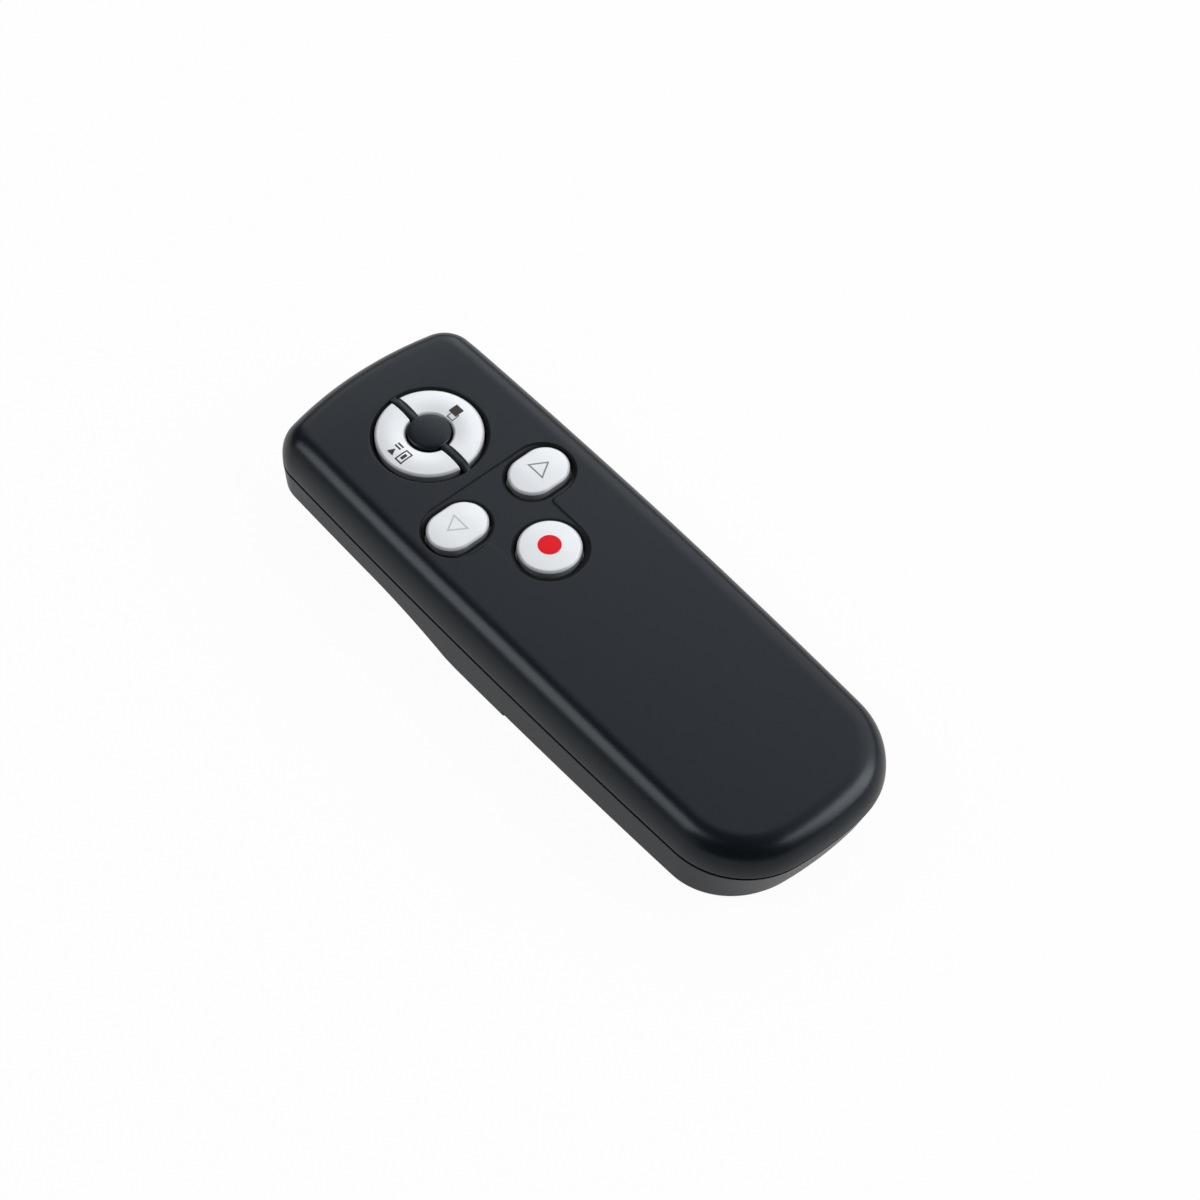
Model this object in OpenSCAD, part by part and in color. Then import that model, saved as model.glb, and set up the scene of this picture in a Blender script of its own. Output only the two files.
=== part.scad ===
// Wireless presentation clicker: a hand-held case in two moulded shells with five keys,
// a laser module in its nose and two AAA cells in its tail.
// +Y points to the laser end, +X to the right, +Z up. Z = 0 is the face it rests on. Millimetres.

/* [Case outline] */
// Length of the case
body_l = 112; // [112:1:124]
// Width of the case at its middle
body_w = 38.3; // [37.4:0.1:44]
// How much each side draws in from the middle to the ends
side_bow = 1; // [0:0.1:1.2]
// Radius of the two tail corners, seen from above
tail_corner_r = 13.4; // [11:0.2:14.4]
// Radius of the two nose corners, seen from above
nose_corner_r = 5.9; // [5.6:0.1:8]
// How far the tail end bulges out
tail_bulge = 3.2; // [2.2:0.1:3.4]
// How far the nose end bulges out
nose_bulge = 3; // [2.4:0.1:3.4]

/* [Case heights] */
// Depth of the lower shell over the battery bay
rear_depth = 9.2; // [9.2:0.1:10.6]
// How much shallower the lower shell is at the nose
nose_lift = 2.5; // [2:0.1:3]
// Rise of the upper shell above the parting line
top_rise = 6.6; // [6.6:0.1:7.6]
// How far the top face sinks from behind the keys to the tail
tail_fall = 1.1; // [0:0.1:1.2]
// How far the top face sinks in front of the keys to the nose
nose_fall = 1; // [0:0.1:1]
// Width of the rounded shoulder of the upper shell
shoulder_w = 4.6; // [4.4:0.1:5]
// Fullness of the shoulder: 2 is an ellipse, more is squarer
shoulder_power = 2.4; // [2:0.1:2.6]
// Radius of the bottom edge
edge_r = 1.3; // [1:0.1:1.8]
// Draft of the lower wall, as inset at the bottom edge
side_draft = 0.3; // [0.1:0.1:0.5]
// How far the tail wall leans in from the parting line down to the floor
tail_rake = 2.8; // [0:0.1:3.2]
// Length of the tail over which that lean fades out along the sides
rake_l = 26; // [22:1:30]
// Length of the flat floor in front of the battery door
lip_l = 13; // [11:0.5:14]
// Length of the finger ramp in front of it
ramp_l = 19; // [16:1:22]

/* [Walls] */
// Thickness of the side walls
wall = 1.6; // [1.4:0.1:1.7]
// Thickness of the top face
ceiling_t = 1.8; // [1.6:0.1:1.8]
// Thickness of the floor
floor_t = 1.4; // [1.2:0.1:1.5]
// Width of the shadow gap on the parting line
reveal = 0.2; // [0.1:0.05:0.3]
// Height of the tongue that locates the shells
tongue_h = 0.8; // [0.6:0.1:1]
// Clearance between the shells' tongue and rebate
tongue_gap = 0.15; // [0.1:0.05:0.2]

/* [Keys] */
// Distance from the nose to the centre of the ring of two keys
ring_setback = 19.5; // [19.5:0.1:20.2]
// Outer radius of the ring keys
ring_r = 8.5; // [8:0.1:8.6]
// Radius of the fixed hub in the ring
hub_r = 3.45; // [3:0.05:3.7]
// Width of the two bars that hold the hub
bar_w = 1.1; // [1:0.05:1.3]
// Distance from the ring to the row of two keys behind it
ring_to_pair = 16.6; // [16.4:0.1:16.8]
// Distance of each of the two keys from the middle
pair_x = 8.1; // [8:0.1:8.6]
// Length of the two keys, across the case
pair_key_l = 10.2; // [9.6:0.1:10.4]
// Width of the two keys, along the case
pair_key_w = 7.7; // [7.2:0.1:7.8]
// Distance from the two keys back to the laser key
pair_to_laser = 12.1; // [11.9:0.1:12.3]
// Radius of the laser key
laser_key_r = 5; // [4.6:0.1:5.1]
// Gap round every key
key_gap = 0.25; // [0.2:0.05:0.3]
// Height of a key's straight side above the top face
key_side = 0.25; // [0.2:0.05:0.45]
// Height of a key's rim above the top face
key_rise = 0.65; // [0.6:0.05:1.1]
// Width of the bevel round a key's top
key_bevel = 0.5; // [0.4:0.05:0.6]
// Height of the crown on a key's top
key_crown = 0.25; // [0.1:0.05:0.4]
// Overhang of the flange that keeps a key in
flange_w = 0.9; // [0.8:0.05:0.9]
// Thickness of that flange
flange_t = 0.8; // [0.6:0.1:0.9]
// Gap between the flange and the case at rest
flange_gap = 0.1; // [0.05:0.05:0.15]
// How far a key goes down
key_travel = 0.4; // [0.3:0.05:0.45]
// Chamfer at the mouth of the ring's well
ring_chamfer = 0.6; // [0.4:0.05:0.6]
// Chamfer at the mouth of the other wells
well_chamfer = 0.4; // [0.2:0.05:0.4]

/* [Key panel] */
// Depth of the shallow T-shaped panel round the rear three keys
panel_depth = 0.25; // [0.15:0.05:0.35]
// Margin of the panel round the pair of keys
panel_margin = 1.3; // [1.1:0.1:1.4]
// Margin of the panel round the laser key
stem_margin = 1; // [0.9:0.1:1.2]
// Margin of the panel past the outer ends of the pair
panel_end = 0.7; // [0.6:0.05:0.8]
// Slope of the panel's edge, as its width
panel_slope = 0.4; // [0.2:0.05:0.5]

/* [Switches and board] */
// Side of a tact switch's square body
switch_w = 6; // [5:0.1:6.2]
// Height of a tact switch's body
switch_h = 3.4; // [3.1:0.1:3.5]
// Diameter of a switch's plunger
plunger_d = 3; // [2.4:0.1:3.4]
// Length of plunger inside the switch's body
plunger_in = 0.6; // [0.5:0.1:0.8]
// Running gap round a plunger
plunger_gap = 0.1; // [0.05:0.05:0.15]
// Distance of the ring keys' switches from the middle
ring_switch_x = 6; // [5.8:0.1:6.2]
// Thickness of the circuit board
board_t = 1.2; // [1:0.1:1.4]
// Board's top face below the parting line
board_drop = 0.4; // [0.3:0.05:0.5]
// Gap between the board and the walls
board_gap = 0.4; // [0.3:0.05:0.6]
// Distance of the board screws from the middle
board_screw_x = 13.3; // [12.8:0.1:13.6]
// Side of the microcontroller
mcu_w = 5; // [4:0.5:5]
// Side of the radio chip
radio_w = 4; // [3:0.5:5]
// Thickness of the chips
chip_t = 0.9; // [0.7:0.05:1.1]
// Length of the crystal, across the board
crystal_l = 3.2; // [2.5:0.1:3.2]
// Width of the crystal
crystal_w = 2.5; // [2:0.1:2.5]
// Length of a capacitor, across the board
cap_l = 1.6; // [1:0.1:1.8]

/* [Laser] */
// Diameter of the laser module's barrel
barrel_d = 6; // [5.6:0.1:6.2]
// Length of the barrel
barrel_l = 6.4; // [6:0.1:6.8]
// Bore of the barrel
barrel_bore = 4.4; // [4:0.1:4.5]
// Diameter of the window in the nose
window_d = 4.8; // [4:0.1:5]
// Width of the window's retaining rim
window_rim = 0.8; // [0.6:0.1:0.9]

/* [Battery bay] */
// Diameter of an AAA cell
cell_d = 10.5; // [10.1:0.1:10.5]
// Length of an AAA cell with its nub
cell_l = 44.5; // [44:0.1:44.5]
// Clearance round each cell
cell_gap = 0.2; // [0.15:0.05:0.25]
// Length of a contact spring under load
spring_l = 3; // [2.6:0.1:3.2]
// Diameter of the contact springs' wire
spring_wire = 0.5; // [0.4:0.05:0.6]
// Thickness of the contact plates
plate_t = 0.3; // [0.2:0.05:0.4]
// Distance from the tail to the rear of the cells' pocket
bay_setback = 6.4; // [6.4:0.1:7]
// Wall of the cells' cradle
cradle_t = 0.9; // [0.8:0.05:1]

/* [Battery door] */
// Length of the door, from the tail
door_l = 53; // [52.5:0.1:53.4]
// Height of the seam between the door and the lower shell
seam_z = 1.8; // [1.8:0.05:2.2]
// Gap on the door's seam
door_gap = 0.15; // [0.1:0.05:0.2]
// How far the door stands in from the walls
door_inset = 0.2; // [0.1:0.05:0.3]
// Thickness of the door's plate
door_t = 1.2; // [1:0.05:1.3]
// Thickness of the deck that the door closes against
deck_t = 1.4; // [1.2:0.1:1.5]
// How far the door slides back before it comes off
door_travel = 6; // [4.5:0.5:6]
// Length of a door hook's foot
hook_foot = 3; // [2.5:0.1:3.2]

/* [Power switch] */
// Distance from the nose to the power knob
knob_setback = 20; // [19:0.5:22]
// Travel of the power knob
knob_travel = 2.5; // [2:0.1:3]
// Length of the power knob, along the case
knob_l = 4; // [3.5:0.1:4.5]
// Width of the power knob
knob_w = 5; // [4:0.1:5.5]
// Length of the slide switch's body
slide_body_l = 8.6; // [8.2:0.1:9]
// Width of the slide switch's body
slide_body_w = 4.4; // [4:0.1:5]

/* [Screws] */
// Diameter of the case screws
case_screw_d = 2; // [1.8:0.1:2.2]
// Length of the case screws under the head
case_screw_l = 8; // [7:0.5:8.5]
// Diameter of the board screws
board_screw_d = 1.7; // [1.6:0.1:2]
// Length of the board screws under the head
board_screw_l = 4; // [3.6:0.1:4.2]

/* [Hidden] */
$fn = 48;
eps = 0.01;
big = 200;
past = 1;              // how far a cut runs past what it cuts
run_gap = 0.05;        // radial gap of a part that sits in a round seat
seat_gap = 0.1;        // gap of a part that sits between two faces
free_gap = 0.2;        // gap round a part that hangs free
// Facets of the lofted shells
end_steps = 4;
corner_steps = 10;
rear_steps = 4;
ramp_steps = 7;
front_steps = 3;
pill_steps = 12;
shoulder_steps = 9;
edge_steps = 5;

tail_y = -body_l / 2;
nose_y = body_l / 2;
split_z = rear_depth;
top_z = split_z + top_rise;
ceiling_z = top_z - ceiling_t;
rake_y = tail_y + rake_l;
fall_power = 1.4;      // how the top's fall gathers toward the ends
inner_fall = 0.5;      // how much of the top's fall the hollow follows

door_front_y = tail_y + door_l;
lip_y = door_front_y + lip_l;
ramp_end_y = lip_y + ramp_l;

ring_y = nose_y - ring_setback;
pair_y = ring_y - ring_to_pair;
laser_y = pair_y - pair_to_laser;
KEY_SPOTS = [[-ring_switch_x, ring_y], [ring_switch_x, ring_y], [-pair_x, pair_y], [pair_x, pair_y],
    [0, laser_y]];

key_top_z = top_z + key_rise;
flange_z = ceiling_z - flange_gap - flange_t;      // underside of every key
well_r = ring_r + key_gap;
keys_front_y = ring_y + well_r + ring_chamfer;
keys_rear_y = laser_y - laser_key_r - stem_margin - panel_slope;
pill_r = pair_key_w / 2;
pill_flat = pair_key_l - pair_key_w;
ring_in_r = hub_r + key_gap;
ring_half = (ring_r - ring_in_r) / 2;
half_gap = bar_w / 2 + key_gap;
hub_step = 0.05;       // how far the hub's rim stands over the keys' rims
hub_round = 0.2;       // width of the hub's rounded rim
hub_rise = 0.42;       // height of the hub's crown

panel_z = top_z - panel_depth;
bar_r = pill_r + panel_margin;
bar_flat = 2 * (pair_x + pair_key_l / 2 + panel_end - bar_r);
stem_r = laser_key_r + stem_margin;

board_z = split_z - board_drop - board_t;
board_top = board_z + board_t;
switch_top = board_top + switch_h;

cell_r = cell_d / 2;
cell_x = cell_r + cell_gap;
cell_z = door_t + cell_gap + seat_gap + cell_r;
cell_round = 0.4;
nub_h = 0.8;
nub_r = 1.9;
nub_round = 0.2;
pocket_w = 2 * (cell_x + cell_r + cell_gap);
pocket_l = cell_l + spring_l + 2 * plate_t;
pocket_rear_y = tail_y + bay_setback;
pocket_front_y = pocket_rear_y + pocket_l;
pocket_roof = cell_z + cell_r + cell_gap;
rear_plate_y = pocket_rear_y + plate_t;
front_plate_y = pocket_front_y - plate_t;
cradle_w = pocket_w + 2 * cradle_t;
cradle_roof = pocket_roof + cradle_t;
cradle_front_y = pocket_front_y + cradle_t;
cradle_inset = wall + 1.3;      // keeps the cradle's rear corners clear of the upper shell
contact_w = 8;
solder_w = 2;
solder_l = 1.6;
spring_foot_r = 3.2;
spring_tip_r = 2.2;
spring_turns = 2.5;
spring_sides = 6;
spring_steps = 12;

window_depth = 3;      // from the nose back to the seat of the window
window_rim_t = 0.8;
window_set = 0.4;      // how far the window's face stands back from the nose
barrel_r = barrel_d / 2;
barrel_front_y = nose_y - window_depth;
barrel_rear_y = barrel_front_y - barrel_l;
diode_rim_r = barrel_r - 0.25;
diode_rim_t = 1.2;
diode_can_l = 2;
lead_r = 0.22;
lead_l = 3;
lead_pitch = 1.2;
lens_r = diode_rim_r - 0.2;
lens_t = 1.6;
lens_lip = 0.6;        // from the lens's flat face forward to the end of its seat
lens_steps = 5;
rib_t = 1.2;
rib_in = 1;            // distance of the barrel's ribs from its ends
rib_x = barrel_r + wall;
block_half = window_d / 2 + window_rim + 1;

board_rear_y = cradle_front_y + board_gap;
board_front_y = barrel_rear_y - board_gap;
board_inset = wall + side_draft + board_gap;
board_hole_gap = 0.15;
board_post_r = 2.2;
board_screw_in = 4;    // distance of the board screws from the board's ends
BOARD_SCREWS = [for (x = [-board_screw_x, board_screw_x],
    y = [board_rear_y + board_screw_in, board_front_y - board_screw_in]) [x, y]];
mcu_y = laser_y + 0.73 * pair_to_laser;
radio_y = pair_y + 0.38 * ring_to_pair;
crystal_y = pair_y + 0.66 * ring_to_pair;
cap_x = 3.6;

deck_z = seam_z;
deck_top = deck_z + deck_t;
rail_x = (cradle_w / 2 + body_w / 2 - wall) / 2;       // line of the hooks and case screws
// Places of the screws and hooks, as shares of the door's length from its front edge
SCREW_SHARES = [0.075, 0.7];
HOOK_SHARES = [0.235, 0.5];
CASE_SCREWS = [for (x = [-rail_x, rail_x], s = SCREW_SHARES) [x, door_front_y - door_l * s]];
HOOKS = [for (x = [-rail_x, rail_x], s = HOOK_SHARES) [x, door_front_y - door_l * s]];
post_r = 2.7;
screw_seat_z = deck_top + 1.6;
screw_tip_gap = 0.3;
case_head_h = 1.4;
case_head_r = 1.9;
board_head_h = 1.1;
board_head_r = 1.7;
cross_w = 0.4;         // width of the cross in a screw's head
cross_share = 0.55;    // reach of the cross, as a share of the head's radius
hook_l = 2.5;
hook_w = 2.4;
hook_t = 1;
hook_z = deck_top + door_gap;      // underside of the hooks' feet
grip_count = 5;
grip_pitch = 1.6;
grip_l = 14;
grip_w = 0.8;
grip_depth = 0.3;
grip_inset = 5.2;

inner_lap = 0.2;       // how far the hollow's flat reaches past the top's
snap_x = 10;
snap_w = 3;
snap_t = 1.2;
snap_hook = 0.7;
snap_gap = 0.35;       // from the tabs to the nose wall
snap_z = split_z - 2.4;

knob_y = nose_y - knob_setback;
knob_gap = 0.3;
knob_proud = 0.3;      // how far the knob stands out of the floor
knob_stem_l = 1.6;
knob_stem_w = 1.8;
knob_stem_in = 1.3;    // how far the stem reaches into the switch's body
stem_gap = 0.15;
slide_body_z = nose_lift + floor_t + knob_gap;

// ---- Outlines: each starts on the centre line, runs anticlockwise and mirrors itself in x ----

function mirrored(half) = concat(half, [for (j = [len(half) - 2:-1:1]) [-half[j].x, half[j].y]]);
function on_arc(x, y, r, a) = [x + r * cos(a), y + r * sin(a)];

// Radius of an end whose middle stands out by the bulge, and where its corner arc is centred
function end_r(bulge) = (pow(body_w / 2, 2) + bulge * bulge) / (2 * bulge);
function corner_x(r) = body_w / 2 - r;
function corner_drop(bulge, r) = sqrt(pow(end_r(bulge) - r, 2) - pow(corner_x(r), 2));
function corner_turn(bulge, r) = atan2(corner_drop(bulge, r), corner_x(r));

tail_centre_y = tail_y + end_r(tail_bulge);
nose_centre_y = nose_y - end_r(nose_bulge);
tail_corner_y = tail_centre_y - corner_drop(tail_bulge, tail_corner_r);
nose_corner_y = nose_centre_y + corner_drop(nose_bulge, nose_corner_r);
tail_turn = corner_turn(tail_bulge, tail_corner_r);
nose_turn = corner_turn(nose_bulge, nose_corner_r);

function side_stations() = concat(
    [for (i = [1:rear_steps]) tail_corner_y + (lip_y - tail_corner_y) * i / rear_steps],
    [for (i = [1:ramp_steps]) lip_y + ramp_l * i / ramp_steps],
    [for (i = [1:front_steps - 1]) ramp_end_y + (nose_corner_y - ramp_end_y) * i / front_steps]);

function bowed(p) = [p.x * (1 - 2 * side_bow / body_w * pow(2 * p.y / body_l, 2)), p.y];

// The case seen from above, drawn in by the inset all round
function case_outline(inset) = mirrored([for (p = concat(
    [for (i = [0:end_steps - 1])
        on_arc(0, tail_centre_y, end_r(tail_bulge) - inset, -90 + (90 - tail_turn) * i / end_steps)],
    [for (i = [0:corner_steps])
        on_arc(corner_x(tail_corner_r), tail_corner_y, tail_corner_r - inset,
            -tail_turn * (1 - i / corner_steps))],
    [for (y = side_stations()) [body_w / 2 - inset, y]],
    [for (i = [0:corner_steps])
        on_arc(corner_x(nose_corner_r), nose_corner_y, nose_corner_r - inset, nose_turn * i / corner_steps)],
    [for (i = [1:end_steps])
        on_arc(0, nose_centre_y, end_r(nose_bulge) - inset, nose_turn + (90 - nose_turn) * i / end_steps)]
    )) bowed(p)]);

// A pill across x: straight for the flat, round at both ends
function pill(flat, r) = mirrored(concat([[0, -r]],
    [for (i = [0:pill_steps]) on_arc(flat / 2, 0, r, -90 + 180 * i / pill_steps)], [[0, r]]));

function at_z(points, z) = [for (p = points) [p.x, p.y, z]];

// Height of the case's underside along its length: flat to the lip, then the finger ramp
function underside(y) = y <= lip_y ? 0 : y >= ramp_end_y ? nose_lift
    : nose_lift * (1 - pow(1 - (y - lip_y) / ramp_l, 2));
function over_underside(points, up) = [for (p = points) [p.x, p.y, underside(p.y) + up]];

// The lean of the tail: the lower a point, the further it moves in, and less toward the sides' middle
function raked(points) = [for (p = points)
    [p.x, p.y + tail_rake * (1 - p.z / split_z) * max(0, rake_y - p.y) / rake_l, p.z]];

// Y of the nose wall, at an inset, for a distance from the middle
function nose_wall_y(x, inset) = nose_centre_y + sqrt(pow(end_r(nose_bulge) - inset, 2) - x * x);

// ---- Building blocks ----

// Skins a stack of equal outlines from the bottom up. A curved base or lid is closed by strips from
// side to side.
module loft(rings, curved_base = false, curved_lid = false) {
    n = len(rings[0]);
    last = (len(rings) - 1) * n;
    sides = [for (k = [0:len(rings) - 2], j = [0:n - 1])
        let (a = k * n + j, b = k * n + (j + 1) % n)
        each [[a, a + n, b + n], [a, b + n, b]]];
    strips = [for (j = [0:n / 2 - 1])
        each j == 0 ? [[0, 1, n - 1]]
            : j == n / 2 - 1 ? [[j, j + 1, n - j]]
            : [[j, j + 1, n - j - 1], [j, n - j - 1, n - j]]];
    base = curved_base ? strips : [[for (j = [0:n - 1]) j]];
    lid = curved_lid ? [for (f = strips) [last + f[2], last + f[1], last + f[0]]]
        : [[for (j = [n:-1:1]) last + j % n]];
    polyhedron(points = [for (r = rings) each r], faces = concat(sides, base, lid));
}

// A prism with the case's outline, drawn in, between two heights
module case_prism(inset, z0, z1)
    translate([0, 0, z0]) linear_extrude(z1 - z0) polygon(case_outline(inset));

module box(lo, hi)
    translate(lo) cube(hi - lo);

module peg(spot, z0, z1, r)
    translate([spot.x, spot.y, z0]) cylinder(h = z1 - z0, r = r);

// A round bar along Y on the laser's axis
module laser_round(y0, y1, r)
    translate([0, y0, split_z]) rotate([-90, 0, 0]) cylinder(h = y1 - y0, r = r);

function shoulder_in(t) = 1 - pow(cos(t), 2 / shoulder_power);
function shoulder_up(t) = pow(sin(t), 2 / shoulder_power);

// How far the top face lies below its height at the keys
function top_fall(y) =
    y < keys_rear_y ? tail_fall * pow((keys_rear_y - y) / (keys_rear_y - tail_y), fall_power)
    : y > keys_front_y ? nose_fall * pow((y - keys_front_y) / (nose_y - keys_front_y), fall_power) : 0;

// The rounded upper form, from a base height up to a top height, and the share of the fall that it takes
module dome(inset, roll, z0, z1, fall)
    loft([for (i = [0:shoulder_steps]) let (t = 90 * i / shoulder_steps)
        [for (p = case_outline(inset + roll * shoulder_in(t)))
            [p.x, p.y, z0 + (z1 - z0 - fall * top_fall(p.y)) * shoulder_up(t)]]], curved_lid = true);

// The lower form, with its draft, its rounded edge, its leaning tail and the finger ramp
module hull_form(inset, z1)
    loft(concat(
        [for (i = [0:edge_steps]) let (t = 90 * i / edge_steps)
            raked(over_underside(case_outline(inset + side_draft + edge_r * (1 - sin(t))),
                edge_r * (1 - cos(t))))],
        [raked(at_z(case_outline(inset), z1))]), curved_base = true);

module hull_hollow()
    loft([raked(over_underside(case_outline(wall + side_draft + floor_t / 2), floor_t)),
        raked(over_underside(case_outline(wall + side_draft), 1.5 * floor_t)),
        raked(at_z(case_outline(wall), split_z + past))], curved_base = true);

// ---- Keys ----

// Height of a key's top over its bevel and crown, for a distance in from its side
function crown_z(in, half) = in <= 0 ? top_z + key_side
    : in <= key_bevel ? top_z + key_side + (key_rise - key_side) * sin(90 * in / key_bevel)
    : key_top_z + key_crown * (1 - pow((half - in) / (half - key_bevel), 2));
CROWN_STEPS = [0, 0.08, 0.25, 0.5, 0.8];
function crown_in(half) = concat([for (s = CROWN_STEPS) key_bevel * s / CROWN_STEPS[4]],
    [for (s = [0.35, 0.6, 0.85]) key_bevel + (half - key_bevel) * s]);

// One half of the ring: the cap between the bars, on a wider flange
module ring_half_key() {
    steps = crown_in(ring_half);
    intersection() {
        translate([0, ring_y, 0]) rotate_extrude() polygon(concat(
            [[ring_in_r, flange_z], [ring_r, flange_z]],
            [for (s = steps) [ring_r - s, crown_z(s, ring_half)]],
            [for (k = [len(steps) - 1:-1:0]) [ring_in_r + steps[k], crown_z(steps[k], ring_half)]]));
        box([half_gap, ring_y - big, 0], [big, ring_y + big, big]);
    }
    intersection() {
        difference() {
            peg([0, ring_y], flange_z, flange_z + flange_t, ring_r + flange_w);
            peg([0, ring_y], 0, big, ring_in_r - flange_w / 2);
        }
        box([half_gap / 2, ring_y - big, 0], [big, ring_y + big, big]);
    }
}

module pill_key(x)
    translate([x, pair_y, 0])
        loft(concat(
            [for (z = [flange_z, flange_z + flange_t]) at_z(pill(pill_flat, pill_r + flange_w), z)],
            [at_z(pill(pill_flat, pill_r), flange_z + flange_t)],
            [for (s = crown_in(pill_r)) at_z(pill(pill_flat, pill_r - s), crown_z(s, pill_r))]));

module slideshow_key() color("gainsboro") mirror([1, 0, 0]) ring_half_key();
module blank_screen_key() color("gainsboro") ring_half_key();
module previous_key() color("gainsboro") pill_key(-pair_x);
module next_key() color("gainsboro") pill_key(pair_x);

module laser_key()
    color("gainsboro") translate([0, laser_y, 0]) rotate_extrude() polygon(concat(
        [[0, flange_z], [laser_key_r + flange_w, flange_z],
            [laser_key_r + flange_w, flange_z + flange_t], [laser_key_r, flange_z + flange_t]],
        [for (s = crown_in(laser_key_r)) [laser_key_r - s, crown_z(s, laser_key_r)]],
        [[0, crown_z(laser_key_r, laser_key_r)]]));

module plunger(spot)
    color("dimgray") peg(spot, switch_top - plunger_in, flange_z, plunger_d / 2);

module slideshow_plunger() plunger(KEY_SPOTS[0]);
module blank_screen_plunger() plunger(KEY_SPOTS[1]);
module previous_plunger() plunger(KEY_SPOTS[2]);
module next_plunger() plunger(KEY_SPOTS[3]);
module laser_plunger() plunger(KEY_SPOTS[4]);

// ---- Upper shell ----

// Wells for the keys, through the top face
module key_wells() {
    translate([0, ring_y, 0]) {
        peg([0, 0], split_z, big, well_r);
        translate([0, 0, top_z - ring_chamfer])
            cylinder(h = ring_chamfer + eps, r1 = well_r, r2 = well_r + ring_chamfer + eps);
    }
    for (x = [-pair_x, pair_x]) translate([x, pair_y, 0]) {
        translate([0, 0, split_z]) linear_extrude(big) polygon(pill(pill_flat, pill_r + key_gap));
        loft([at_z(pill(pill_flat, pill_r + key_gap), panel_z - well_chamfer),
            at_z(pill(pill_flat, pill_r + key_gap + well_chamfer + eps), panel_z + eps)]);
    }
    peg([0, laser_y], split_z, big, laser_key_r + key_gap);
    translate([0, laser_y, panel_z - well_chamfer])
        cylinder(h = well_chamfer + eps, r1 = laser_key_r + key_gap,
            r2 = laser_key_r + key_gap + well_chamfer);
}

// The shallow panel: a bar round the pair of keys and a stem down round the laser key
module panel_recess() {
    translate([0, pair_y, 0])
        loft([at_z(pill(bar_flat, bar_r), panel_z), at_z(pill(bar_flat, bar_r + panel_slope), top_z + eps)]);
    translate([0, laser_y + pair_to_laser / 2, 0]) rotate([0, 0, 90])
        loft([at_z(pill(pair_to_laser, stem_r), panel_z),
            at_z(pill(pair_to_laser, stem_r + panel_slope), top_z + eps)]);
}

// The fixed hub of the ring and the two bars that carry it across the well
module hub_and_bars() {
    rim_r = well_r + ring_chamfer;
    intersection() {
        translate([0, ring_y, 0]) rotate_extrude() polygon([
            [0, ceiling_z], [rim_r, ceiling_z], [rim_r, top_z - eps], [ring_r - key_bevel, key_top_z],
            [hub_r, key_top_z + hub_step], [hub_r - hub_round, key_top_z + 0.6 * hub_rise],
            [hub_r / 2, key_top_z + 0.9 * hub_rise], [0, key_top_z + hub_rise]]);
        union() {
            peg([0, ring_y], 0, big, hub_r);
            box([-bar_w / 2, ring_y - rim_r, 0], [bar_w / 2, ring_y + rim_r, big]);
        }
    }
}

// Ribs that hold the barrel, and the block that holds the window, between two heights
module laser_supports(z0, z1) {
    for (y = [barrel_rear_y + rib_in, barrel_front_y - rib_t - rib_in])
        box([-rib_x, y, z0], [rib_x, y + rib_t, z1]);
    box([-rib_x, barrel_front_y, max(z0, split_z - block_half)],
        [rib_x, nose_wall_y(rib_x, wall * 3 / 4), min(z1, split_z + block_half)]);
}

module laser_cuts() {
    laser_round(barrel_rear_y - past, barrel_front_y + seat_gap, barrel_r + run_gap);
    laser_round(barrel_front_y + seat_gap, barrel_front_y + window_rim_t + 2 * seat_gap,
        window_d / 2 + window_rim + run_gap);
    laser_round(barrel_front_y, nose_y + past, window_d / 2 + run_gap);
}

// The tongue along the parting line, and with a gap the rebate that takes it
module tongue(z0, gap)
    difference() {
        case_prism(wall / 2 - gap, z0, split_z + tongue_h + gap);
        case_prism(wall + gap, z0 - past, split_z + tongue_h + gap + past);
    }

// Snap tabs that hook the nose of the upper shell into the lower one
snap_y = nose_wall_y(snap_x + snap_w / 2, wall) - snap_gap;

module snap_tabs()
    for (x = [-snap_x, snap_x]) {
        box([x - snap_w / 2, snap_y - snap_t, snap_z], [x + snap_w / 2, snap_y, ceiling_z + eps]);
        box([x - snap_w / 2, snap_y - snap_t / 2, snap_z],
            [x + snap_w / 2, snap_y + snap_hook, snap_z + snap_hook]);
    }

module top_cover()
    color([0.17, 0.19, 0.2]) {
        difference() {
            union() {
                difference() {
                    dome(0, shoulder_w, split_z, top_z, 1);
                    dome(wall, shoulder_w - wall - inner_lap, split_z - eps, ceiling_z, inner_fall);
                }
                for (s = CASE_SCREWS) peg(s, split_z, ceiling_z + eps, post_r);
                laser_supports(split_z, ceiling_z + eps);
                snap_tabs();
            }
            tongue(split_z - past, tongue_gap);
            panel_recess();
            key_wells();
            laser_cuts();
            for (s = CASE_SCREWS)
                peg(s, split_z - past, screw_seat_z + case_screw_l + screw_tip_gap,
                    (case_screw_d + run_gap) / 2);
        }
        hub_and_bars();
    }

// ---- Lower shell ----

// The roof and walls round the cells, between the two rails
module cradle()
    intersection() {
        box([-cradle_w / 2, pocket_rear_y - cradle_t, deck_z], [cradle_w / 2, cradle_front_y, cradle_roof]);
        case_prism(cradle_inset, 0, big);
    }

module pocket() {
    box([-pocket_w / 2, pocket_rear_y, deck_z - past], [pocket_w / 2, door_front_y, pocket_roof]);
    box([-pocket_w / 2, pocket_rear_y, floor_t], [pocket_w / 2, pocket_front_y, pocket_roof]);
}

// Slots for the solder tails of the two front contacts
module contact_slots()
    for (x = [-cell_x, cell_x])
        box([x - solder_w / 2 - seat_gap, pocket_front_y - eps, board_top - seat_gap],
            [x + solder_w / 2 + seat_gap, cradle_front_y + eps, board_top + plate_t + seat_gap]);

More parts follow.
